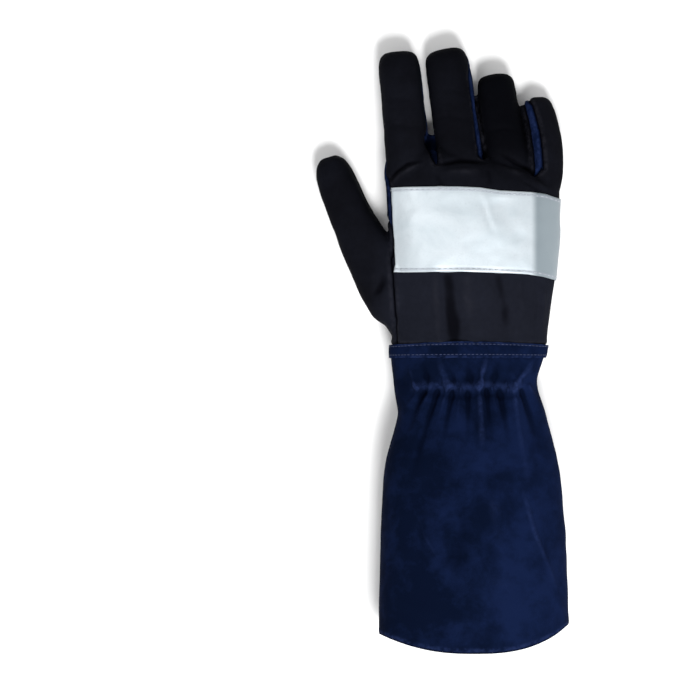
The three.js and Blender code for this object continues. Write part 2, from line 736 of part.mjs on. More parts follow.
function shapeOf(points) {
  return new THREE.Shape(points.map(([x, y]) => new THREE.Vector2(x, y)));
}

function disc(x, y, radius) {
  return new THREE.Shape().absarc(x, y, radius, 0, 2 * Math.PI);
}

function upright(radius, from, to, sides) {
  const made = new THREE.CylinderGeometry(radius, radius, to - from, sides);
  return made.translate(0, (from + to) / 2, 0);
}

// The strap runs along +X, turns round the eye's bar and comes back outside itself.
const foldBack = 0.36; // of the strap's length
const foldInner = 0.73 * eyeWire + hookClearance;
const foldOuter = foldInner + strapThickness;
function strapSolid() {
  const turn = strapLength;
  const shape = new THREE.Shape();
  shape.moveTo(0, foldOuter);
  shape.lineTo(0, foldInner);
  shape.lineTo(turn, foldInner);
  shape.absarc(turn, 0, foldInner, Math.PI / 2, -Math.PI / 2, true);
  shape.lineTo(turn * (1 - foldBack), -foldInner);
  shape.lineTo(turn * (1 - foldBack), -foldOuter);
  shape.lineTo(turn, -foldOuter);
  shape.absarc(turn, 0, foldOuter, -Math.PI / 2, Math.PI / 2, false);
  const half = strapWidth / 2;
  const endHalf = strapEndWidth / 2;
  const end = turn + 2 * foldOuter;
  const outline = [
    [-1, -half], [turn * 0.62, -half], [turn - foldOuter, -endHalf], [end, -endHalf],
    [end, endHalf], [turn - foldOuter, endHalf], [turn * 0.62, half], [-1, half],
  ];
  const trim = extruded(shapeOf(outline), 6 * foldOuter).rotateX(Math.PI / 2);
  return geometryOf(solid(extruded(shape, strapWidth)).intersect(solid(trim)));
}

// The eye stands in the XY plane, its bar through the origin. Its foot holds the post.
const eyeInnerHalf = strapEndWidth / 2 + hookClearance;
const eyeOuterHalf = eyeInnerHalf + eyeWire;
const windowTop = -eyeWire / 2;
const windowBottom = windowTop - eyeWindowHeight;
const footBottom = windowBottom - eyeFoot;
const footHalf = postRadius + hookClearance + eyeWire * 0.6;
function eyeSolid() {
  const front = [
    [-eyeOuterHalf, eyeWire / 2], [-eyeOuterHalf, windowBottom], [-footHalf, footBottom],
    [footHalf, footBottom], [eyeOuterHalf, windowBottom], [eyeOuterHalf, eyeWire / 2],
  ];
  const window = shapeOf([
    [-eyeInnerHalf, windowTop], [eyeInnerHalf, windowTop],
    [eyeInnerHalf, windowBottom], [-eyeInnerHalf, windowBottom],
  ]);
  const thin = eyeWire / 2;
  const side = [
    [-thin, eyeWire], [-thin, windowBottom * 0.7], [-footHalf, windowBottom],
    [-footHalf, footBottom - eyeWire], [footHalf, footBottom - eyeWire], [footHalf, windowBottom],
    [thin, windowBottom * 0.7], [thin, eyeWire],
  ];
  const trim = extruded(shapeOf(side), 4 * eyeOuterHalf).rotateY(Math.PI / 2);
  const hole = upright(postRadius + hookClearance, footBottom - eyeWire, windowBottom + eyeWire, 10);
  return geometryOf(
    solid(extruded(shapeOf(front), 4 * footHalf))
      .intersect(solid(trim))
      .subtract(solid(extruded(window, 5 * footHalf)))
      .subtract(solid(hole)),
  );
}

// Places down the hook, from the eye's foot.
const hookTop = footBottom - hookClearance;
const ringCentre = hookTop - hookLength + hookRingRadius;
const pivot = { x: 0.25 * hookRingRadius, y: hookTop - 0.34 * hookLength };
const gateBottom = ringCentre + 0.15 * hookRingRadius;

// The hook's body: post and head, a neck with a slot for the lever, and a ring that is
// open on the lever's side.
function hookSolid() {
  const shoulder = hookRingRadius * 0.5;
  const neck = [
    [-shoulder * 0.8, hookTop], [-shoulder, hookTop - hookLength * 0.14],
    [-shoulder * 1.15, pivot.y], [-hookRingRadius * 0.93, ringCentre + hookRingRadius * 0.35],
    [0, ringCentre + hookRingHole], [pivot.x + shoulder * 0.78, pivot.y - shoulder * 0.68],
    [pivot.x + shoulder * 0.78, pivot.y + shoulder * 0.59], [shoulder * 0.8, hookTop],
  ];
  const gate = [
    [0.1 * hookRingRadius, gateBottom], [2 * hookRingRadius, gateBottom],
    [2 * hookRingRadius, pivot.y - shoulder], [0.1 * hookRingRadius, pivot.y - shoulder],
  ];
  const slot = [
    [pivot.x - shoulder * 0.83, pivot.y + shoulder * 0.83],
    [pivot.x - shoulder * 0.83, pivot.y - shoulder], [-hookRingHole, gateBottom],
    [2 * hookRingRadius, gateBottom], [2 * hookRingRadius, pivot.y + shoulder * 0.83],
  ];
  const cut = 2 * hookThickness;
  const headBase = windowBottom + hookClearance;
  const pin = extruded(disc(pivot.x, pivot.y, leverPinRadius), 0.88 * hookThickness);
  return geometryOf(
    solid(extruded(shapeOf(neck), hookThickness))
      .add(solid(extruded(disc(0, ringCentre, hookRingRadius), hookThickness)))
      .subtract(solid(extruded(disc(0, ringCentre, hookRingHole), cut)))
      .subtract(solid(extruded(shapeOf(gate), cut)))
      .subtract(solid(extruded(shapeOf(slot), leverThickness + 2 * hookClearance)))
      .add(solid(pin))
      .add(solid(upright(postRadius, hookTop - postRadius / 2, headBase + postRadius / 2, 8)))
      .add(solid(upright(1.7 * postRadius, headBase, headBase + 0.9 * postRadius, 10))),
  );
}

// The lever turns on the pin and closes the ring. Its thumb piece stands out at the side.
function leverSolid() {
  const bottom = gateBottom + hookClearance;
  const outside = hookRingRadius;
  const outline = [
    [pivot.x - 0.27 * outside, pivot.y + 0.15 * outside],
    [pivot.x - 0.27 * outside, pivot.y - 0.29 * outside],
    [0.54 * outside, ringCentre + 0.7 * outside], [0.61 * outside, bottom],
    [0.85 * outside, bottom], [outside, bottom + 0.12 * outside],
    [1.05 * outside, ringCentre + 0.8 * outside],
    [1.24 * outside, pivot.y - 0.29 * outside], [1.2 * outside, pivot.y - 0.05 * outside],
    [0.95 * outside, pivot.y - 0.22 * outside],
    [pivot.x + 0.29 * outside, pivot.y + 0.2 * outside],
  ];
  const hole = disc(pivot.x, pivot.y, 1.33 * leverPinRadius);
  const made = solid(extruded(shapeOf(outline), leverThickness));
  return geometryOf(made.subtract(solid(extruded(hole, 2 * leverThickness))));
}

// The strap's sewn end lies on the gauntlet under its side seam. The hook's end comes down
// beside the gauntlet, to just above the surface that the glove lies on.
const strapAngle = -42;
function hookHolders() {
  const sewn = bodyPoint(-strapPlace, radians(strapAngle), 0);
  const beside = bodyPoint(-strapPlace, radians(strapAngle + 2), 0);
  const tangent = beside.clone().sub(sewn).normalize();
  const outward = new THREE.Vector3(tangent.z, 0, -tangent.x);
  const start = sewn.clone().addScaledVector(outward, gap + foldOuter);
  const hangX = mouthShift + mouthWidth / 2 - 2.35 * hookRingRadius;
  const drop = 1.22 * hookRingRadius;
  const reach = Math.sqrt(strapLength ** 2 - (start.x - hangX) ** 2 - (start.z - drop) ** 2);
  const end = new THREE.Vector3(hangX, start.y - reach, drop);
  const along = end.clone().sub(start).normalize();
  const width = along.clone().cross(outward.clone().negate()).normalize();
  const inward = width.clone().cross(along);
  const strap = new THREE.Group();
  strap.quaternion.setFromRotationMatrix(new THREE.Matrix4().makeBasis(along, inward, width));
  strap.position.copy(start);
  const hook = new THREE.Group();
  const up = new THREE.Vector3(0, 1, 0).projectOnPlane(width).normalize();
  const facing = width.clone().cross(up);
  const basis = new THREE.Matrix4().makeBasis(width, up, facing);
  hook.quaternion.setFromRotationMatrix(basis);
  hook.position.copy(end);
  return { strap, hook };
}

function named(name, geometry, material) {
  const mesh = new THREE.Mesh(geometry, material);
  mesh.name = name;
  return mesh;
}

const glove = new THREE.Group();
for (const [name, [piece, material]] of Object.entries(makeHandPieces()))
  glove.add(named(name, geometryOf(largest(piece)), material));
const backFrom = littleSeamAngle + seamSlit;
const backTo = thumbSeamAngle - seamSlit;
const palmFrom = thumbSeamAngle + seamSlit;
const palmTo = 360 + littleSeamAngle - seamSlit;
const gauntletBack = gauntletWallPatch(backFrom, backTo, gauntletBackColumns);
const gauntletPalm = gauntletWallPatch(palmFrom, palmTo, gauntletPalmColumns);
glove.add(named("gauntlet_back", gauntletBack, suede));
glove.add(named("gauntlet_palm", gauntletPalm, suede));
glove.add(named("wrist_band_back", wristBand(backFrom, backTo), suede));
glove.add(named("wrist_band_palm", wristBand(palmFrom, palmTo), suede));
glove.add(named("reflective_tape", reflectiveTape(), reflective));
const { strap, hook } = hookHolders();
strap.add(named("hook_strap", strapSolid(), webbing));
hook.add(named("hook_eye", eyeSolid(), nickel));
hook.add(named("hook_body", hookSolid(), nickel));
hook.add(named("hook_lever", leverSolid(), nickel));
glove.add(strap, hook);

// The origin is under the middle of the box round the glove.
glove.updateMatrixWorld(true);
const box = new THREE.Box3().setFromObject(glove, true);
const centre = box.getCenter(new THREE.Vector3());
glove.position.set(-centre.x, -centre.y, -box.min.z);

export default glove;
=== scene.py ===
# %% [markdown]
# # A firefighter's glove
#
# The glove lies on its palm with the back of the hand up. It has a black cloth back with a
# wide reflective band, a blue suede palm, suede strips between the fingers, and a flared
# suede gauntlet that an elastic gathers at the wrist. A metal snap hook hangs at its side.
#
# The measured model comes first: it gives the frame that every piece below is fitted to.
# Its box is kept, because the finished glove has to stay inside it.

# %% Load the measured model
import math

import bmesh
import bpy
import numpy as np
from mathutils import Matrix, Vector, bvhtree, kdtree, noise


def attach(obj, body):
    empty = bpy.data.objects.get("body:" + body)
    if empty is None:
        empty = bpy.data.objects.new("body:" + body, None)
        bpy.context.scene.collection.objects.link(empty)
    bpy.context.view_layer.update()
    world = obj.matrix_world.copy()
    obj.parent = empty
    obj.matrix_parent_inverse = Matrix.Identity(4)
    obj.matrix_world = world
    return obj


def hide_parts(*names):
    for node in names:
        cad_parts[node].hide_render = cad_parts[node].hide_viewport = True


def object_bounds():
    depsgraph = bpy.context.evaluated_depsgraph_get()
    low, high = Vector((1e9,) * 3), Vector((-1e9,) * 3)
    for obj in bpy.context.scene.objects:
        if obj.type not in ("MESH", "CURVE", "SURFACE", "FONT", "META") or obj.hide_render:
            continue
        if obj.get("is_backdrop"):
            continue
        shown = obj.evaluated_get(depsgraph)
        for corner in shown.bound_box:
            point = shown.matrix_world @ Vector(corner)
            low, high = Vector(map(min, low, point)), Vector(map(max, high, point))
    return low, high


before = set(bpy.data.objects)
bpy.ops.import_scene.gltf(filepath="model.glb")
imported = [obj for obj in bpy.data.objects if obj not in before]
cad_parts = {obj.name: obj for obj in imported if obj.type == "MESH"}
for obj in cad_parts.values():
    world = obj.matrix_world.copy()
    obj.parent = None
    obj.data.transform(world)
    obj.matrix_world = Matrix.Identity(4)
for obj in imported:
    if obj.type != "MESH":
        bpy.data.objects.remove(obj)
cad_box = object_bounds()
print("measured model:", [round(v, 4) for corner in cad_box for v in corner])

# %% [markdown]
# ## Camera, floor and light
#
# The photograph looks straight down on the glove. A long lens from high up keeps the sides
# parallel, as they are there. Sizes are written in millimetres, from the middle of the wrist
# joint, because that is how the glove was measured, and `place` turns them into the scene's
# metres. The camera's centre is the photograph's centre, to the thumb's side of the glove.

# %% Camera
MM = 0.001
wrist_joint = Vector((16.69, 2.15, 0.0))  # in the frame, in millimetres
lowest = 0.05  # how near the cloth and the suede come to the floor


def place(x, y, z=0.0):
    return (Vector((x, y, z)) + wrist_joint) * MM


def in_mm(points):
    """The other way round: the scene's points as an array of millimetres."""
    return np.array(points, float) / MM - np.array(wrist_joint)


lens = 500
picture_width = 420  # of the photograph's frame, at the glove
camera_data = bpy.data.cameras.new("camera")
camera_data.lens = lens
camera_data.sensor_width = 36
camera = bpy.data.objects.new("camera", camera_data)
camera.location = place(-72, -2.4, 25 + picture_width * lens / 36)
camera.rotation_euler = (0, 0, 0)
bpy.context.scene.collection.objects.link(camera)
bpy.context.scene.camera = camera
camera_data.clip_start, camera_data.clip_end = 0.05, 50
print("camera height, m:", round(camera.location.z, 3))

# %% Floor and soft light
def plain_material(name, colour, roughness):
    made = bpy.data.materials.new(name)
    made.use_nodes = True
    shader = made.node_tree.nodes["Principled BSDF"]
    shader.inputs["Base Color"].default_value = (*colour, 1)
    shader.inputs["Roughness"].default_value = roughness
    return made


def finished(name, bm, materials=()):
    """A bmesh as an object at the origin, smooth, with its materials."""
    mesh = bpy.data.meshes.new(name)
    bm.to_mesh(mesh)
    bm.free()
    for material in materials:
        mesh.materials.append(material)
    mesh.shade_smooth()
    made = bpy.data.objects.new(name, mesh)
    bpy.context.scene.collection.objects.link(made)
    return made


ground = bmesh.new()
bmesh.ops.create_grid(ground, x_segments=1, y_segments=1, size=6)
floor = finished("floor", ground, [plain_material("pale_floor", (0.93, 0.93, 0.93), 0.9)])
floor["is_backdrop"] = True


def soft_light(name, location, size, power):
    data = bpy.data.lights.new(name, "AREA")
    data.size = size
    data.energy = power
    lamp = bpy.data.objects.new(name, data)
    lamp.location = location
    lamp.rotation_euler = (-Vector(location)).to_track_quat("-Z", "Y").to_euler()
    bpy.context.scene.collection.objects.link(lamp)


soft_light("key", (0.3, -1.0, 1.6), 0.7, 50)
soft_light("fill", (-0.9, 0.5, 1.7), 1.4, 12)
soft_light("low", (1.5, 0.3, 0.5), 0.8, 3)
world = bpy.data.worlds.new("studio")
world.use_nodes = True
world.node_tree.nodes["Background"].inputs["Color"].default_value = (1, 1, 1, 1)
world.node_tree.nodes["Background"].inputs["Strength"].default_value = 0.40
bpy.context.scene.world = world
bpy.context.scene.view_settings.view_transform = "Standard"  # a white ground stays white

# %% [markdown]
# ## The glove's body: tables of sections
#
# The hand and the gauntlet are one long soft tube. A table gives its section at some
# distances from the wrist joint: how far it reaches to each side, how high it is, and how
# far it is off the floor. Between the rows the values are blended and then smoothed, so
# that the leather runs in even curves. A section is an ellipse made a little squarer.

# %% Section tables
hand_rows = [  # y, x of the middle, half width, bottom, height
    (-30, -0.8, 46.5, 3.2, 41.0),
    (0, -0.8, 46.5, 3.2, 41.0),
    (23.8, 1.5, 47.0, 0.4, 41.6),
    (48.8, 2.2, 49.8, -0.8, 43.0),
    (73.8, 2.2, 51.3, -0.8, 42.8),
    (95.2, 1.5, 52.0, -0.4, 40.4),
    (107.1, 0.5, 52.0, 0.8, 37.0),
    (113.6, 0.0, 49.0, 3.1, 32.3),
    (117.2, -0.5, 43.5, 5.9, 26.7),
    (119.0, -1.0, 35.0, 9.7, 20.1),
]
gauntlet_rows = [  # y, x of the middle, reach to the thumb's side and to the other, bottom, height
    (0.0, -0.8, 46.5, 46.5, 3.2, 41.0),
    (-6.1, -0.7, 46.6, 45.5, 3.6, 40.4),
    (-12.9, -0.6, 46.0, 43.1, 4.0, 39.5),
    (-20.4, -0.4, 45.3, 40.5, 4.2, 38.6),
    (-27.5, -0.3, 44.9, 40.8, 4.0, 39.7),
    (-41.3, -0.1, 42.4, 45.1, 2.8, 46.4),
    (-55.1, 0.2, 46.4, 48.2, 1.2, 52.0),
    (-67.9, 0.4, 49.9, 51.3, 0.0, 57.0),
    (-82.6, 0.7, 52.7, 53.1, -0.8, 60.7),
    (-121.2, 1.4, 54.9, 56.2, -0.8, 64.3),
    (-154.2, 2.1, 56.1, 56.9, -0.8, 66.0),
    (-183.6, 2.6, 56.8, 56.8, -0.8, 66.0),
]
mouth_y = gauntlet_rows[-1][0]
hem_rise = 14.0  # how much higher the hem is at the sides
joint_gap = 0.175  # from the middle of the wrist joint to the hand, and to the gauntlet
thumb_side, far_side = 186, 336  # the gauntlet's side seams, in degrees round it
wall = 1.9


def smooth_columns(rows, softness=2.2):
    """The table's columns, sampled every millimetre along y and smoothed."""
    table = np.array(sorted(rows))
    y = np.arange(table[0, 0], table[-1, 0] + 0.5, 1.0)
    reach = np.arange(-8, 9)
    weights = np.exp(-((reach / softness) ** 2) / 2)
    weights /= weights.sum()
    columns = [y]
    for column in table.T[1:]:
        sampled = np.interp(y, table[:, 0], column)
        padded = np.pad(sampled, 8, mode="reflect", reflect_type="odd")
        columns.append(np.convolve(padded, weights, mode="valid"))
    return columns


hand_columns = smooth_columns(hand_rows)
gauntlet_columns = smooth_columns(gauntlet_rows)
print("sections:", len(hand_columns[0]), "and", len(gauntlet_columns[0]))


# %% Points on a section
def shaped(value, power):
    """Rounded-box coordinate: an ellipse at power 2, squarer above it."""
    return np.sign(value) * np.abs(value) ** (2 / power)


def step(value, low, high):
    """0 below low, 1 above high, and an even curve between them."""
    t = np.clip((value - low) / (high - low), 0, 1)
    return t * t * (3 - 2 * t)


def bell(distance, width):
    """1 at no distance, falling away to 0 over the width."""
    return np.exp(-((distance / width) ** 2))


def body_points(y, angle, grow=0.0):
    """x and z of the tube's outside at distances y and angles round it, as arrays."""
    y, angle = np.broadcast_arrays(np.asarray(y, float), np.asarray(angle, float))
    across, up = np.cos(angle), np.sin(angle)
    values = []
    for i, j in ((1, 1), (2, 2), (2, 3), (3, 4), (4, 5)):
        on_hand = np.interp(y, hand_columns[0], hand_columns[i])
        on_gauntlet = np.interp(y, gauntlet_columns[0], gauntlet_columns[j])
        values.append(np.where(y >= 0, on_hand, on_gauntlet))
    middle, near, far, bottom, height = values
    under = 2.7 - 0.4 * step(-y, 0, 60)
    power = np.where(up < 0, under, 2.4)
    half = np.where(across < 0, near, far) + grow
    x = middle + half * shaped(across, power)
    z = bottom + height / 2 + (height / 2 + grow) * shaped(up, power)
    return x, np.maximum(z, max(0.0, -grow))


def section_point(y, angle):
    """One point of the tube's outside."""
    x, z = body_points(y, angle)
    return Vector((float(x), y, float(z)))


def hem_at(angle):
    """y of the gauntlet's hem, which is higher at the two sides."""
    return mouth_y + (hem_rise + 3 * np.cos(angle)) * np.abs(np.cos(angle)) ** 2.1


# %% [markdown]
# ## The fingers and the thumb
#
# Each finger is a curved line with a section that tapers to a rounded tip. A finger also has
# a roll, because the middle finger and the little finger lie turned, and show a little of
# their side. The share of each seam says how high the side strips reach.

# %% Finger tables
fingers = {
    "index": dict(root=(-36.1, 103.8, 20), tip=(-43.2, 176.0, 9.8), width=25.4, height=24.5,
                  roll=-3, bow=0.0, near_top=0.1, far_top=0.15, near_under=0.1, far_under=-0.5),
    "middle": dict(root=(-4.0, 105.9, 20), tip=(-14.7, 177.5, 10.0), width=26.5, height=25.0,
                   roll=-13, bow=0.0, near_top=0.2, far_top=0.5, near_under=-0.5, far_under=-0.5),
    "ring": dict(root=(24.4, 103.8, 20), tip=(15.0, 162.3, 9.2), width=23.3, height=23.0,
                 roll=2, bow=-0.5, near_top=-0.5, far_top=-0.62, near_under=-0.5, far_under=-0.5),
    "little": dict(root=(43.7, 96.2, 20), tip=(37.8, 147.6, 8.2), width=20.4, height=20.5,
                   roll=36, bow=3.9, near_top=0.85, far_top=-0.5, near_under=-0.55, far_under=-0.5),
}
thumb = dict(root=(-36.9, 20.9, 17.2), tip=(-85.0, 113.7, 10.2), width=42, height=33,
             roll=-14, bow=-4.6)
finger_arch, thumb_arch = 2.5, 1.3
finger_sections = [  # along, width, height
    (0.0, 0.98, 0.96), (0.15, 1.04, 1.0), (0.36, 1.02, 1.0), (0.6, 1.0, 0.98), (0.8, 0.99, 0.95),
    (0.9, 0.965, 0.89), (0.95, 0.9, 0.78), (0.98, 0.78, 0.61), (0.993, 0.66, 0.45), (1.0, 0.5, 0.3),
]
thumb_sections = [
    (0.0, 0.74, 0.86), (0.09, 0.9, 0.95), (0.2, 0.88, 0.93), (0.4, 0.73, 0.83), (0.6, 0.61, 0.75),
    (0.8, 0.57, 0.69), (0.9, 0.52, 0.62), (0.96, 0.42, 0.48), (0.99, 0.28, 0.32), (1.0, 0.18, 0.2),
]


class Digit:
    """A finger's or the thumb's line, and the directions across it."""

    def __init__(self, row, sections, arch):
        self.row, self.sections = row, np.array(sections)
        root, tip = Vector(row["root"]), Vector(row["tip"])
        self.length = (tip - root).length
        forward = Vector((tip.x - root.x, tip.y - root.y, 0)).normalized()
        aside = Vector((forward.y, -forward.x, 0))
        bend = root.lerp(tip, 0.5) + aside * 2 * row["bow"] + Vector((0, 0, 2 * arch))
        self.points = root, bend, tip

    def at(self, along):
        """Middle, sideways and upward directions, half width and half height."""
        a, b, c = self.points
        t = min(1.0, max(0.0, along))
        middle = a * (1 - t) ** 2 + b * 2 * t * (1 - t) + c * t * t
        ahead = ((b - a) * (1 - t) + (c - b) * t).normalized()
        middle = middle + ahead * (along - t) * self.length
        side = ahead.cross(Vector((0, 0, 1))).normalized()
        up = side.cross(ahead).normalized()
        roll = math.radians(self.row["roll"])
        across = side * math.cos(roll) - up * math.sin(roll)
        raised = up * math.cos(roll) + side * math.sin(roll)
        width = np.interp(t, self.sections[:, 0], self.sections[:, 1]) * self.row["width"]
        height = np.interp(t, self.sections[:, 0], self.sections[:, 2]) * self.row["height"]
        return middle, across, raised, width / 2, height / 2


digits = [Digit(row, finger_sections, finger_arch) for row in fingers.values()]
thumb_digit = Digit(thumb, thumb_sections, thumb_arch)
print("finger lengths, mm:", [round(d.length) for d in digits], round(thumb_digit.length))

# %% [markdown]
# ## One hand from many bodies
#
# The palm, the fingers and the thumb are first six closed bodies that run into each other.
# Four small webs fill the corners between the fingers and at the thumb's root. A body starts
# as a ring. The ring is extruded again and again, and each new ring is moved to its section.
# Booleans could join the bodies, but would leave sharp creases. A voxel remesh melts them
# into one skin, and a little smoothing rounds the corners, as padding does under cloth.

# %% Bodies through rings
def body_through(rings):
    """A closed body through rings of equally many points, each an array of millimetres."""
    bm = bmesh.new()
    made = bmesh.ops.create_circle(bm, cap_ends=False, segments=len(rings[0]), radius=1)
    verts = made["verts"]
    edges = list(bm.edges)
    for vert, point in zip(verts, rings[0]):
        vert.co = place(*point)
    bmesh.ops.holes_fill(bm, edges=edges, sides=0)
    for ring in rings[1:]:
        grown = bmesh.ops.extrude_edge_only(bm, edges=edges)["geom"]
        edges = [g for g in grown if isinstance(g, bmesh.types.BMEdge)]
        new = {v for e in edges for v in e.verts}
        verts = [next(w for e in v.link_edges if (w := e.other_vert(v)) in new) for v in verts]
        for vert, point in zip(verts, ring):
            vert.co = place(*point)
    bmesh.ops.holes_fill(bm, edges=edges, sides=0)
    bmesh.ops.recalc_face_normals(bm, faces=bm.faces)
    return bm


def digit_rings(digit, sides=32, power=2.6):
    angles = (np.arange(sides) + 0.5) * 2 * math.pi / sides
    section = list(zip(shaped(np.cos(angles), power), shaped(np.sin(angles), power)))
    rings = []
    for along in np.unique(np.concatenate([np.linspace(0, 1, 25), digit.sections[:, 0]])):
        middle, across, up, half_width, half_height = digit.at(along)
        ring = [middle + across * (half_width * a) + up * (half_height * b) for a, b in section]
        rings.append([(p.x, p.y, max(0.0, p.z)) for p in ring])
    return rings


def knuckle_drop(y, x):
    """The end of the hand slants back towards the little finger."""
    share = np.clip((x / 104 + 0.2) / 0.7, 0, 1)
    return 15 * share * step(y / 119, 0.75, 1)


def palm_rings(sides=96):
    angles = np.arange(sides) * 2 * math.pi / sides
    rings = []
    for y in [-30, -20, -10, *range(0, 96, 6), *range(98, 114, 3), 115, 117, 118, 119]:
        x, z = body_points(np.full(sides, float(y)), angles)
        rings.append(list(zip(x, y - knuckle_drop(y, x), z)))
    return rings


# %% Melt them into one skin
def melted(name, bodies, voxel, smoothing):
    joined = bmesh.new()
    for body in bodies:
        part = bpy.data.meshes.new("part")
        body.to_mesh(part)
        body.free()
        joined.from_mesh(part)
        bpy.data.meshes.remove(part)
    made = finished(name, joined)
    remesh = made.modifiers.new("melt", "REMESH")
    remesh.mode = "VOXEL"
    remesh.voxel_size = voxel * MM
    smooth = made.modifiers.new("round", "SMOOTH")
    smooth.factor = 0.5
    smooth.iterations = smoothing
    bpy.context.view_layer.update()
    whole = made.evaluated_get(bpy.context.evaluated_depsgraph_get())
    mesh = bpy.data.meshes.new_from_object(whole)
    bpy.data.objects.remove(made)
    return mesh


webs = [  # root, tip, width, height: fillers between two fingers, and at the thumb's root
    ((-15.5, 100, 18), (-24.6, 127, 13.5), 11, 13),
    ((10.5, 98, 18), (4.6, 150, 11.5), 8, 10),
    ((37, 92, 14), (35.5, 122, 8), 6, 8),
    ((-38, 1, 19), (-59, 28, 17), 9.5, 24),
]
bodies = [body_through(palm_rings())]
for root, tip, width, height in webs:
    row = dict(root=root, tip=tip, width=width, height=height, roll=0, bow=0)
    bodies.append(body_through(digit_rings(Digit(row, thumb_sections, 0), 16)))
bodies += [body_through(digit_rings(d)) for d in [*digits, thumb_digit]]
skin = melted("hand", bodies, 0.92, 14)
print("skin of the hand:", len(skin.vertices), "vertices")

# %% [markdown]
# ## Folds
#
# A worn glove is never smooth. Cloth buckles where a finger starts, and two soft valleys run
# from the band to the wrist. Each fold is a short line in the table, on the back or on the
# palm, with a depth and a width. A point near the line is pushed in or out along its normal.
# A slow noise is added, so that no surface is perfectly even.

# %% Fold tables
back_folds = [  # points, depth (a valley is negative), half width
    ([(-16, 60), (-14, 42), (-12, 24), (-9.5, 6), (-8, -12)], -1.6, 5.0),
    ([(-21, 60), (-20.5, 40), (-19, 20), (-18, -8)], 1.1, 3.4),
    ([(-5, 60), (-3, 43), (-1, 24), (1, -8)], 0.8, 4.0),
    ([(15, 56), (17, 40), (21, 22), (23, -4)], -1.1, 3.6),
    ([(-51, 52), (-53, 42), (-56, 28)], -0.9, 2.8),
    ([(-57, 58), (-58, 49), (-61, 40)], 0.7, 3.2),
    ([(30, 40), (32, 22), (31, 6)], 0.6, 3.5),
    ([(44.6, 36), (44, 20), (42.5, 3)], 0.7, 1.1),
    ([(40.5, 36), (40, 20), (38.5, 4)], -0.6, 1.6),
    ([(-36, 42), (-33, 24), (-34, 8)], -0.5, 4.0),
    ([(-21, 108.6), (-6, 111.6), (10, 110.4)], -1.9, 1.5),
    ([(-18, 104), (-6, 104.6), (8, 105)], 0.8, 2.2),
    ([(-51, 97), (-45, 104), (-38, 109.5), (-31, 111.5)], -1.5, 1.4),
    ([(-49, 94.6), (-42, 102.6), (-33, 107.6), (-27.6, 110)], 1.1, 1.6),
    ([(-22, 106), (-18, 99), (-17, 95)], -0.9, 2.2),
    ([(9, 109), (12, 101), (11, 96)], -1.3, 2.4),
    ([(17, 116.6), (27, 110), (35, 106.6), (42, 100)], -1.7, 1.5),
    ([(14, 110), (24, 105), (34, 102)], 0.9, 2.2),
    ([(36, 101), (44, 95), (52, 91)], 0.8, 1.8),
    ([(31, 100), (40, 94), (46, 92)], -0.9, 1.4),
    ([(-25.2, 128), (-23.2, 119), (-20.4, 110)], -3.4, 2.2),
    ([(-54, 131), (-44, 133), (-30, 131)], -0.5, 1.8),
    ([(-55, 147), (-44, 149), (-34, 148)], -0.4, 2.0),
    ([(-24, 136), (-12, 138), (2, 136)], -0.5, 1.8),
    ([(-26, 153), (-14, 154), (-2, 152)], -0.4, 2.0),
    ([(8, 128), (20, 131), (32, 129)], -0.5, 1.8),
    ([(-54, 60), (-64, 52), (-72, 50)], -0.9, 2.6),
    ([(-47, 44), (-54, 34), (-62, 28)], -0.9, 2.4),
    ([(-51, 56), (-56, 46), (-59, 36)], 0.7, 2.6),
    ([(-70, 88), (-80, 84), (-90, 84)], -0.5, 2.0),
    ([(-62, 72), (-74, 66), (-82, 66)], -0.4, 2.2),
    ([(-46, 52), (-52, 60), (-54, 68)], -0.8, 2.4),
]
palm_folds = [
    ([(-48, 66), (-36, 52), (-24, 34), (-20, 16)], -1.6, 2.6),
    ([(-44, 70), (-28, 62), (-10, 46), (-4, 20)], -1.2, 2.6),
    ([(-46, 78), (-24, 78), (2, 68), (24, 62)], -1.2, 2.4),
    ([(-20, 96), (0, 88), (28, 84), (50, 88)], -1.2, 2.2),
    ([(-30, 98), (-26, 84), (-16, 70)], -0.8, 2.2),
    ([(8, 97), (6, 84), (0, 70)], -0.8, 2.2),
    ([(30, 94), (26, 80), (18, 64)], -0.8, 2.4),
    ([(46, 60), (30, 48), (16, 26)], -0.8, 3.0),
    ([(-52, 126), (-28, 128)], -1.0, 1.8),
    ([(-54, 150), (-30, 151)], -0.8, 1.8),
    ([(-22, 131), (4, 132)], -1.0, 1.8),
    ([(-26, 154), (-2, 155)], -0.8, 1.8),
    ([(8, 124), (32, 126)], -1.0, 1.8),
    ([(6, 144), (28, 145)], -0.8, 1.8),
    ([(34, 114), (56, 115)], -0.8, 1.6),
    ([(-84, 84), (-60, 92)], -0.9, 1.8),
    ([(-74, 60), (-50, 68)], -0.9, 2.0),
]


def to_line(points, a, b):
    """How far along the line from a to b each point lies, from 0 to 1, and how far from it."""
    t = np.clip(((points - a) @ (b - a)) / ((b - a) @ (b - a)), 0, 1)
    return t, np.linalg.norm(points - (a + t[:, None] * (b - a)), axis=1)


def fold_push(points, folds, gathered=False):
    """How far the folds push points (an array of x, y) along their normals.

    A gathered fold is sharp and high where its line starts, and opens out along it.
    """
    push = np.zeros(len(points))
    for line, depth, width in folds:
        line = np.array(line, float)
        nearest = np.full(len(points), 1e9)
        fade, spread = np.zeros(len(points)), np.ones(len(points))
        steps = len(line) - 1
        for i in range(steps):
            t, away = to_line(points, line[i], line[i + 1])
            share = (i + t) / steps
            closer = away < nearest
            nearest[closer] = away[closer]
            if gathered:
                fade[closer] = ((1 - share) ** 0.8)[closer]
                spread[closer] = (0.7 + 0.8 * share)[closer]
            else:
                fade[closer] = np.minimum(1, 4 * share * (1 - share) + 0.1)[closer]
        push += depth * fade * bell(nearest, width * spread)
    return push


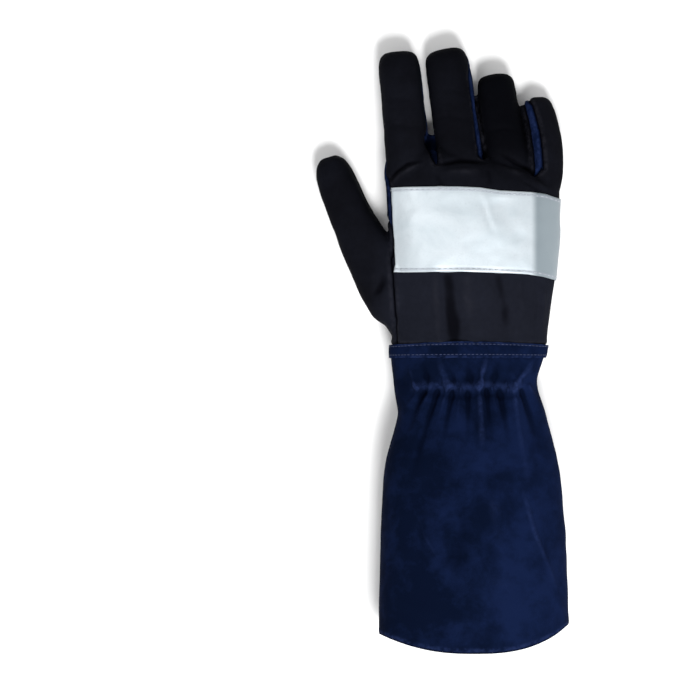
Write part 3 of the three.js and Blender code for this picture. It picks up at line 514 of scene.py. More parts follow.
def column_of_vectors(collection, name, count):
    values = np.empty(count * 3, np.float32)
    collection.foreach_get(name, values)
    return values.reshape(-1, 3)


def unevenness(co, scale, seed):
    """Slow noise from -1 to 1 at points in millimetres."""
    shift = Vector((seed * 17.3, seed * 5.1, seed * 9.7))
    return np.array([noise.noise(Vector(p) / scale + shift) for p in co])


# %% Push the folds into the hand's skin
co = in_mm(column_of_vectors(skin.vertices, "co", len(skin.vertices)))
normal = column_of_vectors(skin.vertex_normals, "vector", len(skin.vertices)).astype(float)
facing_up = step(normal[:, 2], -0.15, 0.45)
facing_down = step(-normal[:, 2], -0.1, 0.4)
near_wrist = step(co[:, 1], 2, 14)
fold = facing_up * fold_push(co[:, :2], back_folds)
fold += facing_down * fold_push(co[:, :2], palm_folds) * near_wrist
fold *= step(co[:, 1], -3, 4)
under_band = step(co[:, 1], 41, 47) * (1 - step(co[:, 1], 91, 96))
fold *= 1 - 0.85 * facing_up * under_band  # the band holds the cloth flat
slow = 0.5 * unevenness(co, 16, 1) + 0.25 * unevenness(co, 7, 2)
moved = co + normal * (fold + slow * near_wrist)[:, None]
moved[:, 2] = np.maximum(moved[:, 2], lowest)
moved = (moved + np.array(wrist_joint)) * MM
skin.vertices.foreach_set("co", moved.astype(np.float32).ravel())
skin.update()
kept = skin.attributes.new("fold", "FLOAT", "POINT")
kept.data.foreach_set("value", (fold + slow).astype(np.float32))
print("deepest fold, mm:", round(-fold.min(), 2))

# %% [markdown]
# ## Where the seams run
#
# The glove is sewn from panels: a black back, a suede palm, suede strips between the
# fingers, and a thumb in two halves. A real glove is cut flat and sewn up. Here the sewn
# form exists already, so the seams are found on it instead. Each seam is where the skin
# meets a curved sheet: the upper sheet bounds the black back, the lower one the palm, and
# what lies between them is the strip. The sheets follow each finger's lean and roll.

# %% Sheets through the seams
def seam_line(digit, which, along):
    """The two points at the sides of a finger where its seam lies."""
    middle, across, up, half_width, half_height = digit.at(along)
    fade = 1 - float(step(along, 0.86, 1))
    near = middle - across * half_width + up * (digit.row["near_" + which] * fade * half_height)
    far = middle + across * half_width + up * (digit.row["far_" + which] * fade * half_height)
    return near, far


def seam_row(which, along):
    lines = [seam_line(d, which, along) for d in digits]
    row = []
    for i, (near, far) in enumerate(lines):
        slope = (far.z - near.z) / (far.x - near.x)
        width = far.x - near.x
        at = lambda x: near.z + slope * (x - near.x)
        first = near.x - 0.6 * width if i == 0 else (lines[i - 1][1].x + near.x) / 2 + 0.8
        last = far.x + 1.3 * width if i == 3 else (far.x + lines[i + 1][0].x) / 2 - 0.8
        first_y = near.y if i == 0 else (lines[i - 1][1].y + near.y) / 2
        last_y = far.y if i == 3 else (far.y + lines[i + 1][0].y) / 2
        row.append((first, first_y, at(first)))
        row.append(((near.x + far.x) / 2, (near.y + far.y) / 2, (near.z + far.z) / 2))
        row.append((last, last_y, at(last)))
    return row


def palm_seam_row(y):
    height = lambda x: 43 * (0.68 - 0.38 * min(1.2, max(-0.2, x / 104 + 0.5)))
    return [(x, y, height(x)) for x, _, _ in seam_row("top", 0.12)]


def sheet_tree(rows):
    """A grid moved onto rows of points, ready for rays to be cast at it."""
    bm = bmesh.new()
    columns = len(rows[0])
    bmesh.ops.create_grid(bm, x_segments=columns - 1, y_segments=len(rows) - 1, size=1)
    bm.verts.ensure_lookup_table()
    for vert, point in zip(bm.verts, [p for row in rows for p in row]):
        vert.co = point
    bmesh.ops.triangulate(bm, faces=bm.faces)
    tree = bvhtree.BVHTree.FromBMesh(bm)
    bm.free()
    return tree


def height_of_sheet(tree, co, missing):
    found = np.full(len(co), float(missing))
    down = Vector((0, 0, -1))
    for i, (x, y, _) in enumerate(co):
        hit = tree.ray_cast(Vector((x, y, 400)), down)[0]
        if hit:
            found[i] = hit.z
    return found


def finger_sheet(which):
    rows = [palm_seam_row(y) for y in (-40, 60, 95)]
    rows += [seam_row(which, along) for along in (0.12, 0.32, 0.55, 0.86, 0.93, 1, 1.3)]
    return sheet_tree(rows)


def thumb_sheet():
    rows = []
    for along, outer, inner in [(-0.4, -0.9, -0.3), (0, -0.74, -0.25), (0.3, -0.55, -0.4),
                                (0.6, -0.42, -0.55), (0.9, -0.35, -0.5), (1.2, -0.3, -0.3)]:
        middle, across, up, half_width, half_height = thumb_digit.at(along)
        rows.append([
            middle - across * (half_width + 12.6) + up * (outer * half_height),
            middle + across * (half_width + 12.6) + up * (inner * half_height),
        ])
    return sheet_tree(rows)


sheets = {"top": finger_sheet("top"), "under": finger_sheet("under"), "thumb": thumb_sheet()}
print("seam sheets:", ", ".join(sheets))


# %% What each seam divides
def past_thumb_seam(co):
    """Positive on the thumb's side of the seam that sets the thumb in."""
    y, z = co[:, 1], co[:, 2]
    at = [-7, 3.6, 23.8, 50, 67.8, 75, 131]
    palm_side = np.interp(y, at, [-43.7, -41.6, -28.6, -23.9, -34.3, -47.8, -67.6])
    back_side = np.interp(y, at, [-43.7, -44.2, -45.2, -46.8, -47.6, -49.7, -67.6])
    edge = palm_side + (back_side - palm_side) * np.clip((z - 6) / 24, 0, 1)
    return edge - co[:, 0]


def above_sheet(name, missing):
    return lambda co: co[:, 2] - height_of_sheet(sheets[name], co, missing)


slits = [((-24.8, 125), (-20.0, 109), 2.3), ((38.5, 130), (43.6, 104.6), 2.6)]


def outside_slits(co):
    """Distance from the slits of the back that the ends of two strips are sewn into."""
    away = np.full(len(co), 50.0)
    for start, end, half_width in slits:
        t, off = to_line(co[:, :2], np.array(start), np.array(end))
        away = np.minimum(away, off - half_width * (1 - t * t))
    return np.where(co[:, 2] > 12, away, 50.0)


def on_back(co):
    return np.minimum(above_sheet("top", 20)(co), outside_slits(co))


def above_strip_bottom(co):
    """Above the palm's seam; where there is no strip, the palm reaches the back."""
    top = height_of_sheet(sheets["top"], co, 20)
    under = height_of_sheet(sheets["under"], co, 20)
    return co[:, 2] - under - 2.2 * (1 - step(top - under, 0.4, 3.0))


def crotch_x(i, y):
    """x of the plan line between finger i and the next."""
    points = []
    for along in (-0.3, 0, 0.12, 0.32, 0.55, 1, 1.3):
        far = seam_line(digits[i], "under", along)[1]
        near = seam_line(digits[i + 1], "under", along)[0]
        points.append(((far.y + near.y) / 2, (far.x + near.x) / 2))
    points = np.array(sorted(points))
    return np.interp(y, points[:, 0], points[:, 1])


def in_front(i, near_y, far_y):
    """Positive inside the separate front of finger i."""
    def field(co):
        x, y = co[:, 0], co[:, 1]
        left, right = crotch_x(i - 1, y), crotch_x(i, y)
        across = np.clip((x - left) / (right - left), 0, 1)
        root = y - (near_y + (far_y - near_y) * across)
        return np.minimum(root, np.minimum(x - left, right - x))
    return field


seam_fields = {
    "thumb": past_thumb_seam,
    "thumb_side": above_sheet("thumb", 15),
    "top": on_back,
    "under": above_strip_bottom,
    "middle_front": in_front(1, 105.3, 103.3),
    "ring_front": in_front(2, 103.3, 100.5),
    "wrist": lambda co: co[:, 1] + joint_gap,
}
strip_names = ["fourchette_index_middle", "fourchette_middle_ring", "fourchette_ring_little"]


def panel_at(co):
    """The name of the panel that each point is on."""
    value = {name: field(co) for name, field in seam_fields.items()}
    panel = np.where(value["top"] > 0, "hand_back", "hand_palm").astype("<U24")
    strip = (value["top"] <= 0) & (value["under"] > 0)
    finger_x = []
    for digit in digits:
        line = [digit.at(along)[0] for along in (-0.25, 0.3, 0.6, 1.1)]
        finger_x.append(np.interp(co[:, 1], [p.y for p in line], [p.x for p in line]))
    for name, left, right in zip(strip_names, finger_x, finger_x[1:]):
        panel[strip & (co[:, 0] >= left) & (co[:, 0] < right)] = name
    palm = panel == "hand_palm"
    panel[palm & (value["middle_front"] > 0)] = "middle_finger_front"
    panel[palm & (value["ring_front"] > 0)] = "ring_finger_front"
    on_thumb = value["thumb"] > 0
    panel[on_thumb & (value["thumb_side"] > 0)] = "thumb_back"
    panel[on_thumb & (value["thumb_side"] <= 0)] = "thumb_front"
    panel[value["wrist"] < 0] = "none"
    return panel


# %% [markdown]
# ## Cut the skin along the seams
#
# A boolean cut would leave ragged slivers on such a fine mesh. Instead each seam is drawn
# onto the skin: every edge that crosses it is split exactly where the seam's value is zero,
# and the new points are joined across the faces. Points that almost lie on a seam count as
# on it, so no tiny faces appear. After that every face belongs to one panel.

# %% Draw the seams
def draw_seam(bm, field, near_enough=0.16):
    value = field(in_mm([v.co for v in bm.verts]))
    value[np.abs(value) < near_enough] = 0
    side = bm.verts.layers.float.get("side") or bm.verts.layers.float.new("side")
    for vert, v in zip(bm.verts, value):
        vert[side] = v
    shares = {}
    for edge in bm.edges:
        a, b = edge.verts[0][side], edge.verts[1][side]
        if a * b < 0:
            shares[edge] = a / (a - b)
    bmesh.ops.bisect_edges(bm, edges=list(shares), cuts=1, edge_percents=shares)
    bmesh.ops.connect_verts(bm, verts=[v for v in bm.verts if abs(v[side]) < 0.001])
    return len(shares)


hand = bmesh.new()
hand.from_mesh(skin)
crossed = {name: draw_seam(hand, field) for name, field in seam_fields.items()}
bmesh.ops.triangulate(hand, faces=[f for f in hand.faces if len(f.verts) > 4])
print("edges crossed by each seam:", crossed)


# %% [markdown]
# ## Panels with real seams
#
# A turned seam pulls the two panels down into a narrow groove, and the thread gathers them
# a little along it. So the skin sinks towards every seam, unevenly. Then each panel becomes
# a piece of its own: its edge is drawn back a hair from its neighbour's and it gets a wall
# on the inside. The glove is hollow, and its seams are real gaps. How near a point is to a
# seam is kept on the mesh, for the materials. Where two seams almost touch, a few faces can
# be left on their own; they take the name of the panel round them.

# %% Sink the seams
def without_crumbs(bm, labels, fewest=90):
    """The names again, where a patch of few faces takes the name of the panel round it."""
    named = labels.copy()
    seen = set()
    for start in bm.faces:
        if start.index in seen:
            continue
        seen.add(start.index)
        patch, around, waiting = [], [], [start]
        while waiting:
            face = waiting.pop()
            patch.append(face.index)
            for other in [f for edge in face.edges for f in edge.link_faces]:
                if labels[other.index] != labels[face.index]:
                    around.append(labels[other.index])
                elif other.index not in seen:
                    seen.add(other.index)
                    waiting.append(other)
        if len(patch) < fewest and around:
            named[patch] = max(sorted(set(around)), key=around.count)
    return named


def seam_points(bm, labels):
    """Vertices between two differently named faces."""
    bm.faces.index_update()
    found = set()
    for edge in bm.edges:
        faces = edge.link_faces
        if len(faces) == 2 and labels[faces[0].index] != labels[faces[1].index]:
            found.update(edge.verts)
    return list(found)


def distance_to(verts, bm):
    """Distance in millimetres from every vertex of bm to the nearest of verts."""
    tree = kdtree.KDTree(len(verts))
    for i, vert in enumerate(verts):
        tree.insert(vert.co, i)
    tree.balance()
    return np.array([tree.find(v.co)[2] for v in bm.verts]) / MM


def keep_values(bm, **columns):
    """Keeps a number for each vertex on the mesh, under a name, for the materials."""
    for name, column in columns.items():
        layer = bm.verts.layers.float.new(name)
        for vert, value in zip(bm.verts, column):
            vert[layer] = value


def move_to(bm, co):
    for vert, point in zip(bm.verts, co):
        vert.co = place(*point)


hand.faces.index_update()
centres = in_mm([f.calc_center_median() for f in hand.faces])
hand_labels = without_crumbs(hand, panel_at(centres))
seams = seam_points(hand, hand_labels)
seam_distance = distance_to(seams, hand)
hand.normal_update()
co = in_mm([v.co for v in hand.verts])
normal = np.array([v.normal for v in hand.verts])
sunk = (1.0 + 0.35 * unevenness(co, 3.2, 3)) * bell(seam_distance, 1.15)
raised = 0.28 * bell(seam_distance - 3.0, 1.4)
co = co + normal * (raised - sunk)[:, None]
co[:, 2] = np.maximum(co[:, 2], lowest)
move_to(hand, co)
keep_values(hand, seam=seam_distance)
print("seam points:", len(seams), "deepest groove, mm:", round(sunk.max(), 2))


# %% A panel as a piece of its own
def draw_back_edges(bm, by):
    """Moves the open edges of a panel back into it, along its surface."""
    moves = {}
    for vert in [v for v in bm.verts if v.is_boundary]:
        pull = Vector()
        for face in vert.link_faces:
            pull += (face.calc_center_median() - vert.co).normalized()
        pull -= vert.normal * pull.dot(vert.normal)
        if pull.length > 0:
            moves[vert] = pull.normalized() * by * MM
    for vert, move in moves.items():
        vert.co += move


def give_wall(sheet, thickness):
    """A wall on the inner side of an open sheet."""
    solidify = sheet.modifiers.new("wall", "SOLIDIFY")
    solidify.thickness = thickness * MM
    solidify.offset = -1
    solidify.thickness_clamp = 2.0  # thinner where the faces are small, so no spikes at the tips


def piece(name, bm, material, slot, node=None, thickness=0.0, body="glove"):
    """A finished piece on its body, in the place of a node if one is named."""
    made = finished(name, bm, [material])
    if thickness:
        give_wall(made, thickness)
    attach(made, body)
    if node:
        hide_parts(node)
    print(name, len(made.data.polygons), "faces")
    return made


def panel(name, material, slot):
    """One panel of the hand, cut out of the skin."""
    bm = hand.copy()
    bm.faces.index_update()
    others = [f for f in bm.faces if hand_labels[f.index] != name]
    bmesh.ops.delete(bm, geom=others, context="FACES")
    draw_back_edges(bm, 0.12)
    return piece(name + "_panel", bm, material, slot, name, wall)


# %% [markdown]
# ## The gauntlet
#
# The gauntlet is the same suede as the palm, in a front and a back piece, sewn at the two
# sides. It is soft and wide, and an elastic sewn across the back gathers it at the wrist. A
# cloth simulation could gather it, but where each fold falls would be left to chance. Here
# the folds are known, so a fine grid is wrapped round the sections and pushed along lines,
# as on the hand. The elastic's own puckers are short and uneven, so they come from noise.

# %% The gauntlet's folds
gather_folds = [  # from the elastic outwards: first below it, then above it
    ([(-30.5, -25.5), (-35, -33), (-42, -44)], 1.6, 1.6),
    ([(-24, -26), (-29, -37), (-36, -54)], 1.5, 1.7),
    ([(-14, -26), (-17.5, -39), (-23, -58)], 1.5, 1.8),
    ([(-6, -26), (-8, -44), (-11, -70)], 1.2, 1.9),
    ([(5, -25), (6.5, -42), (7, -60), (6, -76)], 1.8, 2.9),
    ([(13, -26), (15.5, -42)], 1.3, 1.4),
    ([(26, -26), (28, -44), (33, -76), (39, -104)], 1.9, 2.9),
    ([(35, -24), (40, -34), (47, -50)], 1.4, 1.8),
    ([(-27.6, -27), (-34, -40), (-40, -56)], -1.9, 2.0),
    ([(-19.6, -26), (-25, -42), (-31, -62), (-37, -84)], -2.5, 2.2),
    ([(-10.5, -26), (-14, -42), (-18, -62)], -2.4, 2.0),
    ([(-1.5, -26), (-1.5, -44), (-2, -58)], -1.9, 2.0),
    ([(9.6, -26), (11, -44), (13.5, -68)], -2.2, 2.1),
    ([(17.5, -26), (20, -40), (24, -62)], -2.4, 2.2),
    ([(22.3, -26), (23.5, -38)], 0.9, 1.3),
    ([(31, -26), (35.5, -40), (42, -62)], -2.1, 2.2),
    ([(-32.5, -25), (-35, -17.4), (-39, -4)], 1.8, 1.5),
    ([(-11.5, -24), (-16.3, -17.4), (-21.5, 4)], 2.3, 2.9),
    ([(-8, -22), (-9.4, -13)], 1.0, 0.9),
    ([(5.7, -24), (7.7, -14), (10.3, -4.7), (9, 8)], 2.2, 2.3),
    ([(21, -23), (23, -17.4), (27, -11)], 1.1, 1.1),
    ([(27.5, -22), (34.3, -13.4), (42.3, 2)], 2.2, 2.3),
    ([(-26, -21), (-28, -12), (-28, -4)], -1.7, 2.6),
    ([(-10, -20), (-13, -13), (-15, -4)], -1.5, 1.4),
    ([(0, -22), (-1, -12), (-1, -2)], -1.7, 3.2),
    ([(14.5, -22), (16, -12), (16.5, -2)], -1.8, 3.0),
    ([(28, -17), (33, -9)], -1.0, 1.6),
    ([(-40, -22), (-42, -8)], -0.7, 2.6),
]
soft_folds = [
    ([(27, -72), (32, -92), (38, -112), (48, -136), (57, -166)], 0.95, 1.9),
    ([(22, -78), (28, -98), (34, -118), (43, -140)], -0.8, 4.5),
    ([(42, -84), (47, -112), (55, -134)], -0.7, 4.5),
    ([(-33, -98), (-27, -114), (-20, -126), (-12, -142)], 0.8, 1.8),
    ([(-39, -100), (-33, -118), (-25, -134)], -0.8, 4.5),
    ([(-6, -76), (-5, -110), (-10, -150)], -0.8, 7.0),
    ([(12, -76), (14, -106), (18, -136)], 0.6, 6.0),
    ([(-26, -76), (-24, -96)], -0.6, 5.0),
    ([(-48, -148), (-30, -158), (-14, -160)], 0.5, 4.0),
    ([(4, -134), (22, -146), (36, -164)], 0.5, 6.0),
]
palm_side_folds = [
    ([(-40, -20), (-30, -40), (-26, -64)], -1.0, 3.5),
    ([(36, -18), (28, -42), (26, -70)], -1.0, 3.5),
    ([(-10, -16), (-8, -44), (-12, -80)], -0.7, 5.0),
    ([(14, -20), (12, -60)], 0.5, 5.0),
    ([(0, -90), (4, -130)], -0.6, 7.0),
]
elastic_y = -24.0


def elastic_share(co):
    """1 where the elastic runs, 0 beside its ends."""
    return np.clip((co[:, 0] + 37) / 4, 0, 1) * np.clip((34 - co[:, 0]) / 4, 0, 1)


def from_elastic(co):
    return co[:, 1] - elastic_y - 0.8 * np.sin(co[:, 0] / 5)


def gauntlet_push(co, normal):
    up = step(normal[:, 2], 0.05, 0.5)
    push = up * fold_push(co[:, :2], gather_folds, gathered=True)
    push += step(normal[:, 2], -0.1, 0.3) * fold_push(co[:, :2], soft_folds)
    push += step(-normal[:, 2], 0.0, 0.5) * fold_push(co[:, :2], palm_side_folds)
    across, away = up * elastic_share(co), from_elastic(co)
    crimp = np.array([noise.noise(Vector((x / 2.1, y / 5.5, 3.1))) for x, y, _ in co])
    push += across * (1.2 * crimp * bell(away, 4.5) + bell(away, 2.4))
    push -= across * (0.8 * bell(away + 5.0, 1.8) + 0.5 * bell(away - 4.8, 1.8))
    slow = 0.8 * unevenness(co, 34, 5) + 0.4 * unevenness(co, 12, 6)
    push += slow * step(-co[:, 1], 8, 60)
    return push * step(-co[:, 1], 2, 9)


# %% Wrap the gauntlet
def arc(y, start, end, count, grow=0.0):
    """Points evenly spaced along the section at y, from one angle to another, in degrees."""
    angles = np.radians(np.linspace(start, end, 900))
    x, z = body_points(y, angles, grow)
    length = np.concatenate([[0], np.cumsum(np.hypot(np.diff(x), np.diff(z)))])
    even = np.linspace(0, length[-1], count)
    return np.interp(even, length, x), np.interp(even, length, z), np.interp(even, length, angles)


def grid_through(columns, rows, point_at):
    """A grid whose points are moved to point_at(row) for each row of it."""
    bm = bmesh.new()
    bmesh.ops.create_grid(bm, x_segments=columns - 1, y_segments=rows - 1, size=1)
    bm.verts.ensure_lookup_table()
    for row in range(rows):
        for i, point in enumerate(point_at(row)):
            bm.verts[row * columns + i].co = place(*point)
    bm.normal_update()
    return bm


def gauntlet_piece(name, start, end, columns, rows):
    """The back or the palm side of the gauntlet, from one side seam to the other."""
    def row_at(row):
        hem = hem_at(arc(-100, start, end, columns)[2])
        y = -joint_gap + (hem + joint_gap) * row / (rows - 1)
        x, z, _ = arc(float(np.mean(y)), start, end, columns)
        return zip(x, y, z)
    bm = grid_through(columns, rows, row_at)
    co = in_mm([v.co for v in bm.verts])
    normal = np.array([v.normal for v in bm.verts])
    push = gauntlet_push(co, normal)
    shares = np.tile(np.linspace(0, 1, columns), rows)
    from_side = np.minimum(shares, 1 - shares) * (columns - 1) * 0.62
    to_hem = np.repeat(1 - np.linspace(0, 1, rows), columns) * 183
    sunk = bell(from_side, 1.3) - 0.3 * bell(from_side - 3.4, 1.5) + 0.5 * bell(to_hem, 1.2)
    co = co + normal * (push - sunk)[:, None]
    co[:, 2] = np.maximum(co[:, 2], lowest)
    rubbed = 0.5 * elastic_share(co) * bell(from_elastic(co), 2.4) * (normal[:, 2] > 0)
    move_to(bm, co)
    keep_values(bm, seam=np.minimum(from_side, to_hem), fold=push, raw=rubbed)
    return piece(name + "_panel", bm, suede, "suede", name, wall)


def seam_allowance(name, middle, columns=7, rows=90):
    """The two turned-in edges of a side seam, which lie flat against it inside."""
    def row_at(row):
        hem = float(hem_at(np.radians(middle))) + 0.8
        y = -9 + (hem + 9) * row / (rows - 1)
        x, z, _ = arc(y, middle - 4.5, middle + 4.5, columns, grow=-3.2)
        return [(a, y, b) for a, b in zip(x, z)]
    return piece(name, grid_through(columns, rows, row_at), suede, "suede", thickness=0.8)


# %% [markdown]
# ## Materials
#
# Split leather is fuzzy: its fibres lie in patches, so it looks mottled, and it turns
# lighter where it is rubbed, on ridges and along seams. The black cloth is a tight weave.
# The band is covered with tiny glass beads. All patterns are made from noise and waves in
# object space, so they keep their size in millimetres on every piece. Some of the colour is
# painted light and shade: painted shade in the valleys of folds and in the seam grooves, a
# painted lighter side on the suede, painted light and shade on parts of the black cloth, and
# a painted shaded side on the band. Wear with its painted valley shade, mottling and weave
# are node groups with named sockets, because several materials use them.

# %% Helpers for node groups
def new_group(name, vectors, numbers, outputs):
    """A node group with its sockets: vectors, numbers with their defaults, and outputs."""
    group = bpy.data.node_groups.new(name, "ShaderNodeTree")
    sockets = group.interface
    for label in vectors:
        sockets.new_socket(name=label, in_out="INPUT", socket_type="NodeSocketVector")
    for label, default in numbers.items():
        made = sockets.new_socket(name=label, in_out="INPUT", socket_type="NodeSocketFloat")
        made.default_value = default
    for label in outputs:
        sockets.new_socket(name=label, in_out="OUTPUT", socket_type="NodeSocketFloat")
    given, out = group.nodes.new("NodeGroupInput"), group.nodes.new("NodeGroupOutput")
    return group, given.outputs, out.inputs


def feed(socket, value):
    """Links a node's input to another socket, or sets its own value."""
    if isinstance(value, bpy.types.NodeSocket):
        socket.id_data.links.new(value, socket)
    else:
        socket.default_value = value


def add(tree, kind, values=None, **settings):
    """A node with its settings, and values or links for its inputs."""
    node = tree.nodes.new(kind)
    for key, value in settings.items():
        setattr(node, key, value)
    for key, value in (values or {}).items():
        feed(node.inputs[key], value)
    return node


def math_node(operation, a, b=0.0, clamp=False):
    """A sum, in the node tree that its linked socket belongs to."""
    tree = next(v for v in (a, b) if isinstance(v, bpy.types.NodeSocket)).id_data
    values = {0: a, 1: b}
    return add(tree, "ShaderNodeMath", values, operation=operation, use_clamp=clamp).outputs[0]


def times(a, b):
    return math_node("MULTIPLY", a, b)


def plus(a, b, clamp=False):
    return math_node("ADD", a, b, clamp)


def larger(a, b):
    return math_node("MAXIMUM", a, b)


def ramp(value, low, high, to_low=0.0, to_high=1.0):
    """A soft step from to_low to to_high, where the value goes from low to high."""
    values = {"Value": value, "From Min": low, "From Max": high, "To Min": to_low, "To Max": to_high}
    node = add(value.id_data, "ShaderNodeMapRange", values)
    node.interpolation_type = "SMOOTHSTEP"
    return node.outputs["Result"]


def noise_value(where, scale, detail=3.0, roughness=0.55, distortion=0.0):
    values = {"Vector": where, "Scale": scale, "Detail": detail,
              "Roughness": roughness, "Distortion": distortion}
    return add(where.id_data, "ShaderNodeTexNoise", values).outputs["Fac"]


def mixed(share, a, b):
    """Colour a, with a share of colour b; a colour is three numbers or a socket."""
    a, b = ((*colour, 1) if isinstance(colour, tuple) else colour for colour in (a, b))
    values = {"Factor": share, "A": a, "B": b}
    return add(share.id_data, "ShaderNodeMix", values, data_type="RGBA").outputs["Result"]


def along_axes(vector):
    """The x, y and z of a vector."""
    return add(vector.id_data, "ShaderNodeSeparateXYZ", {0: vector}).outputs


def kept_on_mesh(tree, name):
    """A number that a piece's mesh keeps under a name."""
    return add(tree, "ShaderNodeAttribute", attribute_name=name).outputs["Fac"]


# %% Node groups: nap, weave and wear
def nap_group():
    """Fuzzy patches of leather fibre: a patch mask from 0 to 1, and a height."""
    group, given, out = new_group("nap", ["Place"], {"Patch size mm": 9.0}, ["Patches", "Height"])
    where = given["Place"]
    scale = math_node("DIVIDE", 1000.0, given["Patch size mm"])
    wide = noise_value(where, times(scale, 0.32), 3, 0.5, 0.3)
    patch = noise_value(where, scale, 4, 0.6, 0.4)
    brushed_nap_and_side_light = noise_value(where, times(scale, 3.2), 4, 0.7, 0.5)
    fibre = noise_value(where, 1900.0, 2, 0.6)
    both = plus(plus(times(wide, 0.6), times(patch, 0.27)), times(brushed_nap_and_side_light, 0.13))
    feed(out["Patches"], ramp(both, 0.36, 0.64))
    feed(out["Height"], plus(times(brushed_nap_and_side_light, 0.55), times(fibre, 0.45)))
    return group


def weave_group():
    """A plain weave on the plane that the surface faces most: height, and a thread's shade."""
    vectors, outputs = ["Place", "Normal"], ["Height", "Shade"]
    group, given, out = new_group("weave", vectors, {"Thread mm": 0.55}, outputs)
    where = given["Place"]
    x, y, z = along_axes(where)
    size = [math_node("ABSOLUTE", facing) for facing in along_axes(given["Normal"])]
    sideways = math_node("GREATER_THAN", size[0], larger(size[1], size[2]))
    endways = math_node("GREATER_THAN", size[1], larger(size[0], size[2]))
    u = plus(x, times(sideways, math_node("SUBTRACT", z, x)))
    v = plus(y, times(endways, math_node("SUBTRACT", z, y)))
    turns = math_node("DIVIDE", 3141.59, given["Thread mm"])
    wobble = times(noise_value(where, 160.0, 2), 2.4)
    waves = [math_node("SINE", plus(times(way, turns), wobble)) for way in (u, v)]
    height = plus(times(times(waves[0], waves[1]), 0.35), 0.5)
    slub = noise_value(where, 420.0, 3)
    feed(out["Height"], height)
    feed(out["Shade"], plus(times(height, 0.6), times(slub, 0.4)))
    return group


def wear_and_shade_group():
    """Where rubbing shows, on the ridges of folds and beside the seams; and painted shade in the
    valleys of folds and in the seam grooves.
    """
    numbers = {"Ridge from mm": 0.5, "Seam rub": 0.6}
    group, given, out = new_group("wear_and_shade", ["Place"], numbers, ["Wear", "Painted valley shade"])
    fold_height, seam, raw_edge = (kept_on_mesh(group, name) for name in ("fold", "seam", "raw"))
    low = given["Ridge from mm"]
    ridge = ramp(fold_height, low, plus(low, 1.7))
    beside = times(ramp(seam, 0.5, 1.6), ramp(seam, 4.2, 2.0))
    broken = ramp(noise_value(given["Place"], 260.0, 4, 0.7), 0.38, 0.62)
    beside = times(times(beside, given["Seam rub"]), broken)
    rubbed = larger(times(ridge, ramp(broken, 0, 1, 0.5, 1.0)), beside)
    rubbed = larger(rubbed, times(raw_edge, ramp(broken, 0, 1, 0.3, 1.0)))
    feed(out["Wear"], rubbed)
    # painted shade: darkest in the valleys of folds and in the seam grooves
    feed(out["Painted valley shade"], larger(ramp(fold_height, -0.4, -1.6), ramp(seam, 1.2, 0.1)))
    return group


nap, weave, wear_and_shade = nap_group(), weave_group(), wear_and_shade_group()
print("node groups:", [g.name for g in bpy.data.node_groups])


# %% Helpers for materials
def start_material(name, **sockets):
    """A new material and its shader, and the coordinates on the piece."""
    made = bpy.data.materials.new(name)
    made.use_nodes = True
    shader = made.node_tree.nodes["Principled BSDF"]
    for key, value in sockets.items():
        shader.inputs[key.replace("_", " ")].default_value = value
    coords = made.node_tree.nodes.new("ShaderNodeTexCoord")
    return made, shader, coords.outputs


def placed(group, where, **values):
    """The outputs of a node group at a place on the piece."""
    values = {key.replace("_", " "): value for key, value in values.items()}
    values["Place"] = where
    return add(where.id_data, "ShaderNodeGroup", values, node_tree=group).outputs


def complete(shader, colour, roughness, height, depth_mm, strength):
    """The shader's colour and roughness, and a bump from a height."""
    values = {"Height": height, "Strength": strength, "Distance": depth_mm * MM}
    bump = add(shader.id_data, "ShaderNodeBump", values)
    feed(shader.inputs["Normal"], bump.outputs["Normal"])
    feed(shader.inputs["Base Color"], colour)
    feed(shader.inputs["Roughness"], roughness)


# %% Suede and black cloth
def suede_material(name, dark, light, worn):
    made, shader, coords = start_material(
        name, Specular_IOR_Level=0.01,
        Sheen_Weight=0.006, Sheen_Roughness=0.4, Sheen_Tint=(0.4, 0.45, 0.9, 1),
    )
    where = coords["Object"]
    fuzz, rubbed = placed(nap, where), placed(wear_and_shade, where)
    # painted light: the suede is lighter towards the little finger's side, where more light falls
    brushed_nap_and_side_light = ramp(along_axes(where)[0], -0.05, 0.08, -0.42, 0.30)
    colour = mixed(plus(fuzz["Patches"], brushed_nap_and_side_light, clamp=True), dark, light)
    colour = mixed(times(rubbed["Wear"], 0.75), colour, worn)
    # painted shade: darker in the valleys of folds and in the seam grooves
    colour = mixed(times(rubbed["Painted valley shade"], 0.7), colour, tuple(0.45 * c for c in dark))
    roughness = ramp(fuzz["Patches"], 0, 1, 0.98, 0.86)
    complete(shader, colour, roughness, fuzz["Height"], 0.35, 0.8)
    return made


